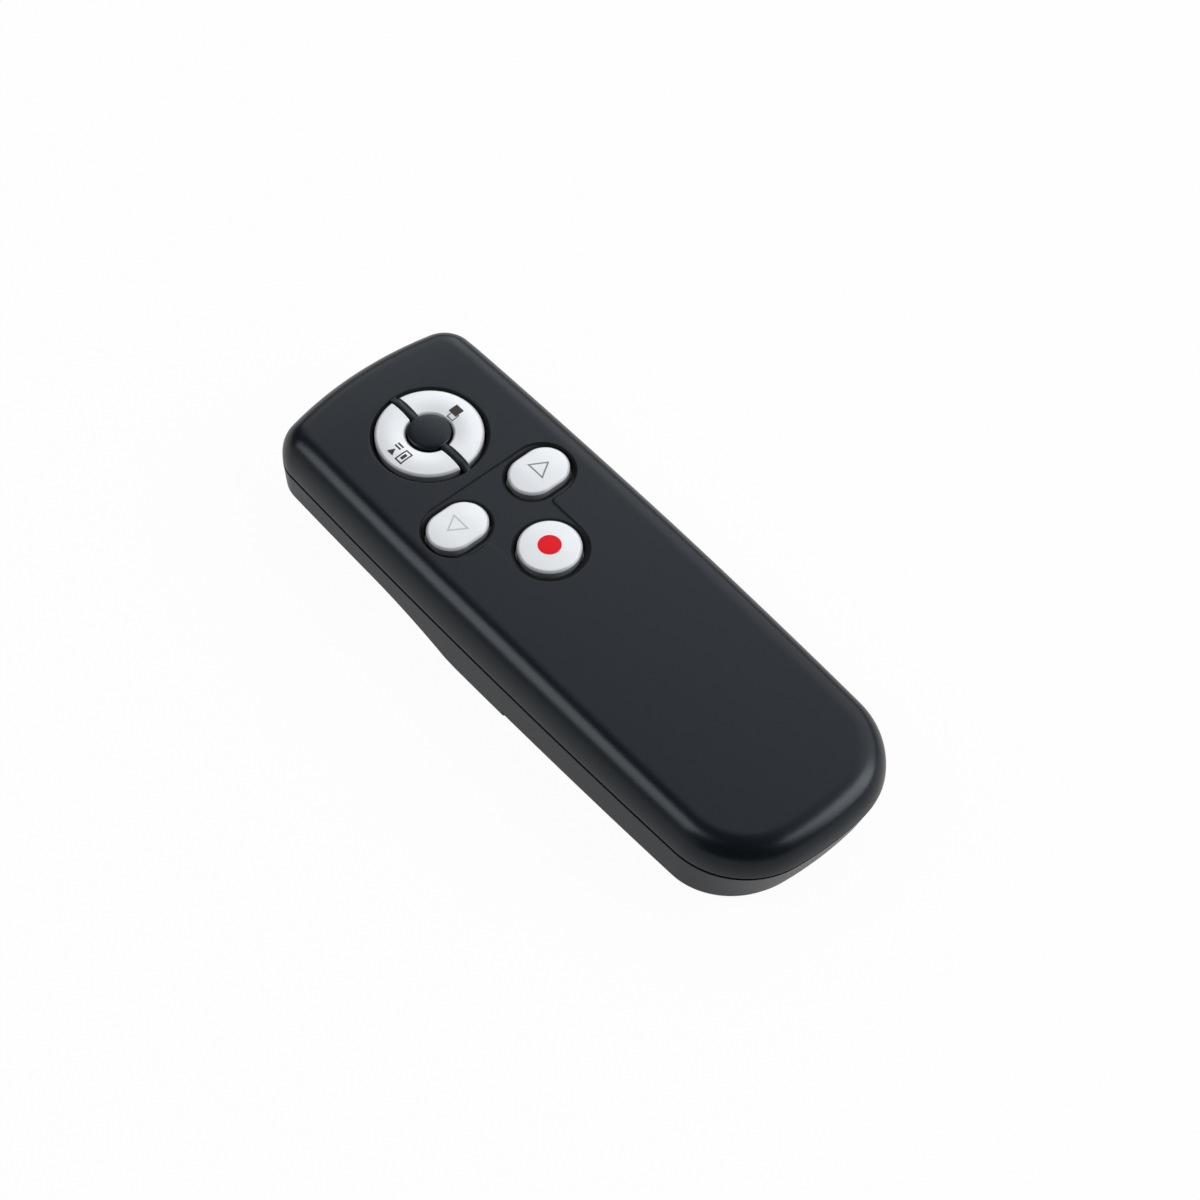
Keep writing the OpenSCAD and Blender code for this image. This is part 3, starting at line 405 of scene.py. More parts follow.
class Shader:
    """The node tree of a material or of the world, built from one node-making method."""

    def __init__(self, name, owners=bpy.data.materials):
        self.owner = owners.new(name)
        self.owner.use_nodes = True
        self.tree = self.owner.node_tree
        self.tree.nodes.clear()

    def add(self, kind, settings=None, inputs=None):
        node = self.tree.nodes.new("ShaderNode" + kind)
        for key, value in (settings or {}).items():
            setattr(node, key, value)
        for key, value in (inputs or {}).items():
            if isinstance(value, Signal):
                self.tree.links.new(value.socket, node.inputs[key])
            else:
                node.inputs[key].default_value = value
        return [Signal(self, output) for output in node.outputs]

    def math(self, operation, *values):
        return self.add("Math", {"operation": operation}, dict(enumerate(values)))[0]

    def place(self):
        """Where a point is on the piece, in metres."""
        return self.add("TexCoord")[3]

    def axes(self):
        """How far a point lies along X, Y and Z, in millimetres."""
        return [axis * (1 / MM) for axis in self.add("SeparateXYZ", inputs={0: self.place()})]

    def facing(self):
        """The X, Y and Z parts of the direction that the surface faces."""
        return self.add("SeparateXYZ", inputs={0: self.add("TexCoord")[1]})

    def stripes(self, along, pitch, width):
        """1 on stripes of that width and 0 between them."""
        return self.math("FRACT", along * (1 / pitch)) < width / pitch

    def waves(self, along, pitch):
        """Fine ridges of that pitch, from -1 to 1."""
        return self.math("SINE", along * (2 * pi / pitch))

    def noise(self, size_mm, detail):
        """Noise about 0.5 whose patches are about that many millimetres wide."""
        return self.add("TexNoise", inputs={"Vector": self.place(), "Scale": 1 / (size_mm * MM),
                                            "Detail": detail})[0]

    def choose(self, factor, a, b):
        """A number that goes from a to b."""
        return self.add("Mix", {"data_type": "FLOAT"}, {0: factor, 2: a, 3: b})[0]

    def mix(self, factor, a, b):
        """A colour that goes from a to b."""
        return self.add("Mix", {"data_type": "RGBA"}, {0: factor, 6: a, 7: b})[2]

    def fade(self, value, start, end):
        """0 where the value is start, 1 where it is end, and between them in between."""
        return self.add("MapRange", inputs={0: value, 1: start, 2: end, 3: 0.0, 4: 1.0})[0]

    def bump(self, height, depth_mm):
        """Relief of that depth where height goes from 0 to 1."""
        return self.add("Bump", inputs={"Height": height, "Distance": depth_mm * MM})[0]

    def finish(self, **inputs):
        """Ends the tree in a Principled shader; underscores in the names stand for spaces."""
        named = {key.replace("_", " "): value for key, value in inputs.items()}
        surface = self.add("BsdfPrincipled", inputs=named)[0]
        self.add("OutputMaterial", inputs={"Surface": surface})
        return self.owner


def colour(r, g, b):
    """A colour given in the 0 to 255 steps of a screen, as the linear values that shaders use."""
    def linear(value):
        value = value / 255
        return value / 12.92 if value <= 0.04045 else ((value + 0.055) / 1.055) ** 2.4
    return linear(r), linear(g), linear(b), 1


def case_plastic():
    """Near-black moulding with a fine satin grain."""
    shader = Shader("satin_case")
    grain = shader.noise(0.16, 3)
    cloud = shader.noise(9, 3)
    base = shader.mix(cloud, colour(8, 12, 19), colour(11, 15, 22))
    return shader.finish(Base_Color=base, Roughness=0.25 + cloud * 0.04 + grain * 0.04,
                         Normal=shader.bump(grain, 0.008), Specular_IOR_Level=0.33,
                         Specular_Tint=(0.82, 0.93, 1, 1))


def key_plastic():
    """Pearl enamel, with grey shade painted down a key's sides where they turn from upright."""
    shader = Shader("key_enamel")
    grain = shader.noise(0.3, 2)
    cloud = shader.noise(4, 2)
    enamel = shader.mix(cloud, colour(216, 220, 224), colour(224, 227, 230))
    # Painted shade: a key's sides grey as they turn away from upright, for the shade on its bevels
    side = shader.fade(shader.facing()[2], KEY_TOP_FACING, KEY_SIDE_FACING)
    return shader.finish(Base_Color=shader.mix(side, enamel, colour(118, 123, 127)), Metallic=0.08,
                         Roughness=0.3 + grain * 0.06, Normal=shader.bump(grain, 0.003),
                         Specular_IOR_Level=0.35)


def plain_plastic(name, dark, light, rough):
    shader = Shader(name)
    grain = shader.noise(0.2, 3)
    return shader.finish(Base_Color=shader.mix(grain, dark, light), Roughness=rough + grain * 0.1,
                         Normal=shader.bump(grain, 0.01))


def metal(name, dark, light, rough):
    """Bare or plated metal, a little rougher in patches."""
    shader = Shader(name)
    grain = shader.noise(0.4, 4)
    return shader.finish(Base_Color=shader.mix(grain, dark, light), Metallic=1.0,
                         Roughness=rough + grain * 0.15, Normal=shader.bump(grain, 0.004))


def ink_or_painted_shade(name, dark, light, rough=0.45):
    """A dull film, for printed marks and for the painted shade in seams and wells."""
    shader = Shader(name)
    grain = shader.noise(0.25, 3)
    return shader.finish(Base_Color=shader.mix(grain, dark, light), Roughness=rough + grain * 0.1,
                         Specular_IOR_Level=0.2)


def circuit_lacquer():
    """Green lacquer over copper tracks, gold pads, and bare laminate on the cut edges."""
    shader = Shader("circuit_lacquer")
    x, y, _ = shader.axes()
    patches = shader.noise(TRACK_PATCH, 0) > 0.5
    tracks = shader.choose(patches, shader.stripes(x, TRACK_PITCH, TRACK_W),
                           shader.stripes(y, TRACK_PITCH, TRACK_W))
    across = shader.math("FRACT", x * (1 / PAD_PITCH)) - 0.5
    down = shader.math("FRACT", y * (1 / PAD_PITCH)) - 0.5
    pads = (across * across + down * down) < (PAD_R / PAD_PITCH) ** 2
    edge = shader.math("ABSOLUTE", shader.facing()[2]) < FLAT_FACING
    weave = shader.noise(0.3, 3)
    lacquer = shader.mix(tracks, colour(14, 74, 42), colour(30, 108, 60))
    face = shader.mix(pads, lacquer, colour(214, 176, 92))
    laminate = shader.mix(weave, colour(150, 148, 96), colour(182, 176, 120))
    return shader.finish(Base_Color=shader.mix(edge, face, laminate), Metallic=pads * 0.9,
                         Roughness=shader.choose(edge, 0.28, 0.7) + weave * 0.08,
                         Normal=shader.bump(tracks + pads, 0.02))


def chip_epoxy(name, middle_y, half):
    """Black moulding with plated contacts round its foot and a dimple at its first pin."""
    shader = Shader(name)
    x, y, z = shader.axes()
    from_x, from_y = x - (DIMPLE_INSET - half), y - (middle_y + half - DIMPLE_INSET)
    dimple = (from_x * from_x + from_y * from_y) < DIMPLE_R ** 2
    foot = (z < BOARD_TOP + PIN_H) * (shader.facing()[2] < FLAT_FACING)
    pins = foot * shader.stripes(x + y, PIN_PITCH, PIN_W)
    grain = shader.noise(0.15, 3)
    epoxy = shader.mix(dimple, shader.mix(grain, colour(28, 28, 30), colour(40, 40, 42)), colour(58, 58, 60))
    return shader.finish(Base_Color=shader.mix(pins, epoxy, colour(196, 198, 200)), Metallic=pins,
                         Roughness=shader.choose(pins, 0.62, 0.3), Normal=shader.bump(grain - dimple, 0.01))


def crystal_can():
    """A brushed steel can with a duller rim at its foot."""
    shader = Shader("crystal_can")
    brushed = shader.noise(0.25, 4)
    rim = shader.axes()[2] < BOARD_TOP + CRYSTAL_RIM
    base = shader.mix(rim, shader.mix(brushed, colour(186, 188, 188), colour(214, 214, 212)),
                      colour(150, 146, 138))
    return shader.finish(Base_Color=base, Metallic=1.0, Roughness=0.22 + brushed * 0.18,
                         Normal=shader.bump(brushed, 0.004))


def capacitor_ceramic():
    """Brown ceramic with a tinned cap on each end."""
    shader = Shader("capacitor_ceramic")
    from_middle = shader.math("ABSOLUTE", shader.math("ABSOLUTE", shader.axes()[0]) - CAP_X)
    tin = from_middle > CAP_L * CAP_TIN
    grain = shader.noise(0.12, 3)
    ceramic = shader.mix(grain, colour(150, 112, 78), colour(176, 138, 100))
    return shader.finish(Base_Color=shader.mix(tin, ceramic, colour(204, 204, 200)), Metallic=tin,
                         Roughness=shader.choose(tin, 0.5, 0.32) + grain * 0.1,
                         Normal=shader.bump(grain, 0.006))


def tact_switch():
    """Black switch housings under their steel lids."""
    shader = Shader("tact_switch")
    grain = shader.noise(0.2, 3)
    lid = shader.axes()[2] > SWITCH_TOP - LID_T
    black = shader.mix(grain, colour(26, 26, 28), colour(36, 36, 38))
    return shader.finish(Base_Color=shader.mix(lid, black, colour(190, 190, 188)), Metallic=lid,
                         Roughness=shader.choose(lid, 0.55, 0.3) + grain * 0.1,
                         Normal=shader.bump(grain, 0.008))


def turned_brass():
    """Brass with the fine rings that a lathe leaves."""
    shader = Shader("turned_brass")
    grain = shader.noise(0.5, 3)
    brass = shader.mix(grain, colour(196, 160, 84), colour(220, 186, 108))
    return shader.finish(Base_Color=brass, Metallic=1.0, Roughness=0.24 + grain * 0.12,
                         Normal=shader.bump(shader.waves(shader.axes()[1], BRASS_PITCH), 0.004))


def glass(name, dark, light, rough):
    shader = Shader(name)
    cloud = shader.noise(1.5, 2)
    return shader.finish(Base_Color=shader.mix(cloud, dark, light), Roughness=rough + cloud * 0.02,
                         Transmission_Weight=1.0, IOR=1.5)


def knob_plastic():
    """Satin black with fine ridges across the face that the thumb pushes."""
    shader = Shader("knob_plastic")
    grain = shader.noise(0.15, 3)
    under = shader.facing()[2] < -FLAT_FACING
    ridges = shader.waves(shader.axes()[1], KNOB_RIDGE_PITCH) * under
    return shader.finish(Base_Color=shader.mix(grain, colour(24, 25, 27), colour(33, 34, 36)),
                         Roughness=0.42 + grain * 0.1, Normal=shader.bump(ridges + grain * 0.1, 0.08))


def cell_sleeve(name, minus_y, plus_y):
    """A printed sleeve with a copper band at the plus end; both ends are bare steel."""
    shader = Shader(name)
    along = (shader.axes()[1] - minus_y) * (1 / (plus_y - minus_y))
    grain = shader.noise(0.4, 3)
    end = shader.math("ABSOLUTE", shader.facing()[1]) > END_FACING
    band = (along > CELL_BAND) * (along < CELL_BAND_END)
    line = (along > CELL_LINE) * (along < CELL_BAND)
    sleeve = shader.mix(grain, colour(38, 60, 74), colour(46, 70, 84))
    printed = shader.mix(line, shader.mix(band, sleeve, colour(186, 112, 62)), colour(216, 216, 214))
    steel = shader.math("MAXIMUM", end, along > CELL_STEEL)
    return shader.finish(Base_Color=shader.mix(steel, printed, colour(196, 196, 192)),
                         Metallic=shader.math("MAXIMUM", steel, band * 0.7),
                         Roughness=0.26 + grain * 0.1, Normal=shader.bump(grain, 0.004))


def dress(material, *nodes):
    """Gives rigid solids their material."""
    for node in nodes:
        frame["nodes"][node].material_slots[0].material = material


SATIN_CASE = case_plastic()
KEY_ENAMEL = key_plastic()
RED_INK = ink_or_painted_shade("red_ink", colour(208, 3, 20), colour(220, 6, 27))
DARK_INK = ink_or_painted_shade("dark_ink", colour(48, 46, 46), colour(66, 62, 60))
GREY_INK = ink_or_painted_shade("grey_ink", colour(120, 120, 122), colour(140, 140, 142))
PALE_INK = ink_or_painted_shade("pale_ink", colour(176, 178, 180), colour(190, 192, 194))
# Painted shade for the faces in the seams, the wells and the panel's step
PAINTED_SEAM_SHADE = ink_or_painted_shade("painted_seam_shade", colour(9, 11, 13), colour(14, 16, 18), 0.7)
STEEL = metal("zinc_steel", colour(176, 178, 180), colour(204, 205, 206), 0.3)
NICKEL = metal("nickel_spring", colour(186, 186, 182), colour(212, 211, 206), 0.22)


# ---- Upper shell ----

def shoulder_levels(inset, roll, z0, z1, start, steps):
    """The rounded shoulder as (inset, z), from an angle up to the flat top."""
    angles = [start + (pi / 2 - start) * i / steps for i in range(steps + 1)]
    return [(inset + roll * (1 - cos(t) ** (2 / SHOULDER_POWER)),
             z0 + (z1 - z0) * sin(t) ** (2 / SHOULDER_POWER)) for t in angles]


def well(bm, outline, r, z, chamfer):
    """A key's well from its mouth down to the ceiling; outline takes a radius."""
    f, run = EDGE_FILLET, EDGE_FILLET * FILLET_RUN
    mouth = r + chamfer
    levels = ([(mouth + f + SUPPORT, z)]
              + fillet((mouth + f, z), (mouth, z), (mouth - run, z - run))
              + fillet((r + run, z - chamfer + run), (r, z - chamfer), (r, z - chamfer - f))
              + [(r, CEILING_Z)])
    return stack(bm, outline, levels)


def cut_across(bm, border):
    """Cuts the flat top from side to side at the border's points, before and behind the keys."""
    heights = {round(v.co.y, 4) for v in border}
    for y in sorted(h for h in heights if h < KEYS_REAR_Y or h > KEYS_FRONT_Y):
        flat = [f for f in bm.faces if min(v.co.z for v in f.verts) > TOP_Z - LEVEL]
        geom = {g for f in flat for g in (f, *f.edges, *f.verts)}
        bmesh.ops.bisect_plane(bm, geom=list(geom), plane_co=(0, y, 0), plane_no=(0, 1, 0), dist=MERGE)


def sink(verts, top, share):
    """Lowers the ends of the top by their fall, less and less down to the parting line."""
    for vert in verts:
        height = max(0, vert.co.z - SPLIT_Z)
        vert.co.z -= share * top_fall(vert.co.y) * height / (top - SPLIT_Z)


def top_cover():
    """The upper shell with its wells and panel. Its posts and ribs stay out of sight and are left out."""
    bm = bmesh.new()
    f = EDGE_FILLET
    outer = ([(WALL / 2 - TONGUE_GAP, SPLIT_Z), (f, SPLIT_Z)]
             + fillet((f, SPLIT_Z), (0, SPLIT_Z), (0, SPLIT_Z + f))[1:]
             + shoulder_levels(0, SHOULDER_W, SPLIT_Z, TOP_Z, SHOULDER_START, SHOULDER_STEPS)
             + [(SHOULDER_W + SUPPORT, TOP_Z)])
    _, border = stack(bm, case_outline, outer)

    ring_mouth, ring_foot = well(bm, lambda r: round_outline(RING_Y, r, RING_WELL_STEPS), WELL_R, TOP_Z,
                                 RING_CHAMFER)
    g, e = PANEL_SLOPE, PANEL_FILLET
    panel_mouth, panel_foot = stack(bm, panel_outline, (
        [(g + e + SUPPORT, TOP_Z)] + fillet((g + e, TOP_Z), (g, TOP_Z), (g - e / 2, TOP_Z - e))
        + fillet((e, PANEL_Z + e), (0, PANEL_Z), (-e, PANEL_Z)) + [(-e - SUPPORT, PANEL_Z)]))
    fill_flat(bm, border, ring_mouth, panel_mouth)

    wells = [well(bm, lambda r: pill_outline(x, r), PAIR_R + KEY_GAP, PANEL_Z, WELL_CHAMFER)
             for x in (-PAIR_X, PAIR_X)]
    wells.append(well(bm, lambda r: round_outline(LASER_Y, r, LASER_WELL_STEPS), LASER_R + KEY_GAP, PANEL_Z,
                      WELL_CHAMFER))
    fill_flat(bm, panel_foot, *[mouth for mouth, _ in wells])
    cut_across(bm, border)
    sink(bm.verts, TOP_Z, 1)

    outside = set(bm.verts)
    rebate = SPLIT_Z + TONGUE_H + TONGUE_GAP
    inner = ([(WALL / 2 - TONGUE_GAP, SPLIT_Z), (WALL / 2 - TONGUE_GAP, rebate), (WALL + TONGUE_GAP, rebate)]
             + shoulder_levels(WALL, SHOULDER_W - WALL - INNER_LAP, SPLIT_Z, CEILING_Z, INNER_START,
                               INNER_STEPS))
    _, inner_border = stack(bm, case_outline, inner)
    fill_flat(bm, inner_border, ring_foot, *[foot for _, foot in wells])
    sink([v for v in bm.verts if v not in outside], CEILING_Z, INNER_FALL)
    bmesh.ops.remove_doubles(bm, verts=bm.verts, dist=MERGE)

    bm = combine(bm, "DIFFERENCE", window_bore())
    hub_and_bars(bm)
    return to_mesh(bm, "upper_shell")


def window_bore():
    """The round hole for the laser's window, half in each shell."""
    bm = bmesh.new()
    middle = Matrix.Translation((0, NOSE_Y + (PAST - WINDOW_DEPTH) / 2, SPLIT_Z))
    bmesh.ops.create_cone(bm, cap_ends=True, segments=BORE_STEPS, radius1=WINDOW_R, radius2=WINDOW_R,
                          depth=WINDOW_DEPTH + PAST, matrix=middle @ Matrix.Rotation(pi / 2, 4, "X"))
    return bm


def in_upper_seam(x, y, z, up):
    """Where shade is painted: the underside along the parting line, the panel's step, and the wells but not
    the hub and bars.
    """
    if z < SPLIT_Z + EDGE_FILLET or (PANEL_Z < z < TOP_Z - STEP_MARGIN and abs(up) < STEP_FACING):
        return True
    from_ring, from_laser = hypot(x, y - RING_Y), hypot(x, y - LASER_Y)
    from_pair = hypot(max(0, abs(abs(x) - PAIR_X) - PAIR_FLAT / 2), y - PAIR_Y)
    reach = KEY_GAP + WELL_CHAMFER + EDGE_FILLET + SUPPORT
    return (HUB_R + HUB_MARGIN < from_ring < WELL_R + RING_CHAMFER and abs(x) > BAR_W / 2 + HUB_MARGIN
            or from_laser < LASER_R + reach or from_pair < PAIR_R + reach)


def in_lower_seam(x, y, z, up):
    """Where shade is painted: the rim along the parting line, with its fillet."""
    return z > SPLIT_Z - REVEAL - EDGE_FILLET - RIM_MARGIN


def hub_and_bars(bm):
    """The fixed hub of the ring, and the two bars that carry it across the well."""
    hub = ([(HUB_R * share, RIM_Z + up) for share, up in HUB_CROWN]
           + fillet(*[(HUB_R - inward, RIM_Z + up) for inward, up in HUB_EDGE], HUB_EDGE_STEPS)
           + [(HUB_R, CEILING_Z), (0, CEILING_Z)])
    revolve(bm, hub, RING_Y, HUB_STEPS)
    profile = ([(HUB_R - BAR_LAP, CEILING_Z), (HUB_R - BAR_LAP, RIM_Z + BAR_RISE)]
               + [(RING_R - KEY_BEVEL + out, RIM_Z + up) for out, up in BAR_BEND]
               + [(WELL_R + RING_CHAMFER, TOP_Z - BAR_SINK), (WELL_R + RING_CHAMFER, CEILING_Z)])
    for side in (-1, 1):
        verts = [bm.verts.new((-BAR_W / 2, RING_Y + side * along, z)) for along, z in profile]
        face = bm.faces.new(verts)
        moved = of_kind(bmesh.ops.extrude_face_region(bm, geom=[face])["geom"], BMVert)
        bmesh.ops.translate(bm, vec=(BAR_W, 0, 0), verts=moved)
        around = {e for v in verts + moved for e in v.link_edges}
        long_edges = [e for e in around if abs(e.verts[0].co.x - e.verts[1].co.x) < MERGE
                      and min(v.co.z for v in e.verts) > CEILING_Z + 1]
        soften(bm, long_edges, BAR_EDGE_R)


# ---- Lower shell and battery door: a fine outer skin round the inner form ----

def over_underside(up):
    """A height over the underside, as a function of y."""
    return lambda y: underside(y) + up


def skin_levels(inset, skin_t, rim_z):
    """A closed skin as (inset, z): up the outside from the rounded bottom edge, and down the inside."""
    f = EDGE_FILLET
    foot = inset + SIDE_DRAFT
    turns = [pi / 2 * i / EDGE_STEPS for i in range(EDGE_STEPS + 1)]
    edge = [(foot + EDGE_R * (1 - sin(t)), over_underside(EDGE_R * (1 - cos(t)))) for t in turns]
    rim = fillet((inset, rim_z - f), (inset, rim_z), (inset + f, rim_z))
    return edge + rim + [(inset + skin_t, rim_z)] + inner_levels(inset, skin_t)


def inner_levels(inset, skin_t):
    """The foot of the inside as (inset, z)."""
    foot = inset + skin_t + SIDE_DRAFT
    return [(foot, over_underside(EDGE_R)), (foot + EDGE_R / 2, over_underside(skin_t))]


def outer_skin(inset, skin_t, rim_z):
    """The outer layer of the lower shell or of the door, up to the rim."""
    bm = bmesh.new()
    first, last = stack(bm, case_outline, skin_levels(inset, skin_t, rim_z))
    fill_across(bm, first)
    fill_across(bm, last)
    return bm


def inner_form(node, inset, skin_t):
    """The rigid solid of that node without the outer layer that the skin stands for."""
    bm = bmesh.new()
    bm.from_mesh(frame["nodes"][node].data)
    bmesh.ops.scale(bm, vec=(1 / MM, 1 / MM, 1 / MM), verts=bm.verts)
    bmesh.ops.remove_doubles(bm, verts=bm.verts, dist=CAD_MERGE)
    bmesh.ops.dissolve_limit(bm, angle_limit=COPLANAR, verts=bm.verts, edges=bm.edges)
    room = bmesh.new()
    levels = (inner_levels(inset, skin_t)[::-1]
              + [(inset + skin_t, SPLIT_Z - REVEAL), (inset + skin_t, TOP_Z)])
    first, last = stack(room, case_outline, levels)
    fill_across(room, first)
    fill_across(room, last)
    return combine(bm, "INTERSECT", room)


def join(bm, other):
    """Adds the other bmesh to the first."""
    mesh = bpy.data.meshes.new("added")
    other.to_mesh(mesh)
    other.free()
    bm.from_mesh(mesh)


def bottom_cover():
    """The lower shell, open at the battery door and round the power knob."""
    bm = combine(outer_skin(0, WALL / 2, SPLIT_Z - REVEAL), "DIFFERENCE", window_bore())
    cuts = bmesh.new()
    add_box(cuts, (-BODY_W, -BODY_L, -PAST), (BODY_W, DOOR_FRONT_Y, SEAM_Z))
    reach = KNOB_L / 2 + KNOB_TRAVEL / 2 + KNOB_GAP
    half_w = KNOB_W / 2 + KNOB_GAP
    add_box(cuts, (-half_w, KNOB_Y - reach, 0), (half_w, KNOB_Y + reach, NOSE_LIFT + FLOOR_T / 2))
    bm = combine(bm, "DIFFERENCE", cuts)
    join(bm, inner_form("bottom_cover", 0, WALL / 2))
    return keep_flats_flat(to_mesh(bm, "lower_shell"))


def battery_door():
    """The door with its grips: what the lower shell leaves open, less the gap."""
    front_y, top = DOOR_FRONT_Y - DOOR_GAP, SEAM_Z - DOOR_GAP
    bm = outer_skin(DOOR_INSET, DOOR_T / 2, SPLIT_Z)
    cuts = bmesh.new()
    add_box(cuts, (-BODY_W, -BODY_L, top), (BODY_W, BODY_L, TOP_Z))
    add_box(cuts, (-BODY_W, front_y, -PAST), (BODY_W, BODY_L, top))
    for i in range(GRIPS):
        y = DOOR_FRONT_Y - GRIP_INSET - i * GRIP_PITCH
        add_box(cuts, (-GRIP_L / 2, y - GRIP_W, -PAST), (GRIP_L / 2, y, GRIP_DEPTH))
    bm = combine(bm, "DIFFERENCE", cuts)
    join(bm, inner_form("battery_door", DOOR_INSET, DOOR_T / 2))
    return keep_flats_flat(to_mesh(bm, "battery_door_cover"))


# ---- Keys ----

def key_levels(half):
    """A key's visible form as (distance in from its side, z): side, bevel, then crown."""
    bevel = [(KEY_BEVEL * i / BEVEL_STEPS, SIDE_Z + (KEY_RISE - KEY_SIDE) * sin(pi / 2 * i / BEVEL_STEPS))
             for i in range(BEVEL_STEPS + 1)]
    crown = [(KEY_BEVEL + (half - KEY_BEVEL) * share, RIM_Z + KEY_CROWN * (1 - (1 - share) ** 2))
             for share in CROWN_SHARES]
    return bevel + crown


def crown_height(out, half):
    """Height of a key's top at a distance out from its middle line."""
    return RIM_Z + KEY_CROWN * (1 - (out / (half - KEY_BEVEL)) ** 2)


def pill_key(name, x):
    """A pill-shaped key with the flange that holds it behind its well."""
    bm = bmesh.new()
    levels = ([(-FLANGE_W, FLANGE_Z), (-FLANGE_W, FLANGE_Z + FLANGE_T), (0, FLANGE_Z + FLANGE_T)]
              + key_levels(PAIR_R))
    first, last = stack(bm, lambda inset: pill_outline(x, PAIR_R - inset), levels)
    fill_flat(bm, first)
    fill_flat(bm, last)
    return to_mesh(bm, name)


def laser_key(name):
    """The round key, with its flange."""
    bm = bmesh.new()
    flange = [(0, FLANGE_Z), (LASER_R + FLANGE_W, FLANGE_Z), (LASER_R + FLANGE_W, FLANGE_Z + FLANGE_T),
              (LASER_R, FLANGE_Z + FLANGE_T)]
    top = [(LASER_R - inset, z) for inset, z in key_levels(LASER_R)]
    revolve(bm, flange + top + [(0, RIM_Z + KEY_CROWN)], LASER_Y, LASER_KEY_STEPS)
    return to_mesh(bm, name)


def cut_side(bm, side, x):
    """Cuts off what lies on the bars' side of x, closes the cut and rounds its edges."""
    cut = bmesh.ops.bisect_plane(bm, geom=bm.verts[:] + bm.edges[:] + bm.faces[:], plane_co=(side * x, 0, 0),
                                 plane_no=(side, 0, 0), clear_inner=True, clear_outer=False)["geom_cut"]
    edges = of_kind(cut, BMEdge)
    bmesh.ops.edgeloop_fill(bm, edges=edges)
    soften(bm, edges, KEY_CUT_R, 3)


def ring_key(name, side):
    """Half of the ring, on one side of the bars."""
    bm = bmesh.new()
    levels = key_levels(RING_HALF)
    profile = ([(RING_INNER_R, FLANGE_Z), (RING_R, FLANGE_Z)] + [(RING_R - inset, z) for inset, z in levels]
               + [(RING_INNER_R + inset, z) for inset, z in reversed(levels)])
    revolve(bm, profile, RING_Y, RING_KEY_STEPS)
    cut_side(bm, side, BAR_W / 2 + KEY_GAP)
    return to_mesh(bm, name)


# ---- Marks on the keys: thin inlays that follow the crown ----

def lay_on_crown(bm, height):
    """Cuts flat marks up finely, lifts them onto height(x, y) and gives them thickness."""
    for _ in range(MARK_CUTS):
        long_edges = [e for e in bm.edges if e.calc_length() > MARK_EDGE]
        if long_edges:
            bmesh.ops.subdivide_edges(bm, edges=long_edges, cuts=1, use_grid_fill=True)
    bmesh.ops.triangulate(bm, faces=bm.faces)
    for vert in bm.verts:
        vert.co.z = height(vert.co.x, vert.co.y) + MARK_RISE
    made = bmesh.ops.extrude_face_region(bm, geom=bm.faces[:])["geom"]
    bmesh.ops.translate(bm, vec=(0, 0, -MARK_T), verts=of_kind(made, BMVert))


def flat_face(bm, points):
    return bm.faces.new([bm.verts.new((x, y, 0)) for x, y in points])


def outline_face(bm, points, stroke):
    """A closed line of that width, inside the points."""
    face = flat_face(bm, points)
    face.normal_update()
    bmesh.ops.inset_individual(bm, faces=[face], thickness=stroke, use_even_offset=True)
    bmesh.ops.delete(bm, geom=[face], context="FACES_ONLY")


def pill_height(x0):
    """The crown of the pill-shaped key at x0, as height(x, y)."""
    def height(x, y):
        return crown_height(hypot(max(0, abs(x - x0) - PAIR_FLAT / 2), y - PAIR_Y), PAIR_R)
    return height


def ring_height(x, y):
    return crown_height(hypot(x, y - RING_Y) - RING_INNER_R - RING_HALF, RING_HALF)


def laser_height(x, y):
    return crown_height(hypot(x, y - LASER_Y), LASER_R)


def arrow_mark(name, side):
    """An outlined arrowhead that points away from the middle."""
    bm = bmesh.new()
    tip, back = side * ARROW_TIP_X, side * ARROW_BACK_X
    outline_face(bm, [(tip, PAIR_Y), (back, PAIR_Y + ARROW_SPREAD), (back, PAIR_Y - ARROW_SPREAD)],
                 ARROW_STROKE)
    lay_on_crown(bm, pill_height(side * PAIR_X))
    return to_mesh(bm, name)


def dot_mark(name):
    """A filled round dot."""
    bm = bmesh.new()
    bmesh.ops.create_circle(bm, cap_ends=True, cap_tris=True, segments=DOT_STEPS, radius=DOT_R,
                            matrix=Matrix.Translation((0, LASER_Y, 0)))
    lay_on_crown(bm, laser_height)
    return to_mesh(bm, name)


def rectangle(x, y, w, l):
    return [(x - w / 2, y - l / 2), (x + w / 2, y - l / 2), (x + w / 2, y + l / 2), (x - w / 2, y + l / 2)]


def screen_mark(name):
    """Two overlapping screens, one outlined and one filled."""
    bm = bmesh.new()
    outline_face(bm, rectangle(*BACK_SCREEN), SCREEN_STROKE)
    flat_face(bm, rectangle(*FRONT_SCREEN))
    lay_on_crown(bm, ring_height)
    return to_mesh(bm, name)


def show_mark(name):
    """A start arrowhead with two bars over a stop square in a frame."""
    bm = bmesh.new()
    flat_face(bm, [(START_BACK_X, START_Y - START_SPREAD), (START_TIP_X, START_Y),
                   (START_BACK_X, START_Y + START_SPREAD)])
    for bar in PAUSE_BARS:
        flat_face(bm, rectangle(*bar))
    outline_face(bm, rectangle(*STOP_FRAME), STOP_STROKE)
    flat_face(bm, rectangle(*STOP_SQUARE))
    lay_on_crown(bm, ring_height)
    return to_mesh(bm, name)
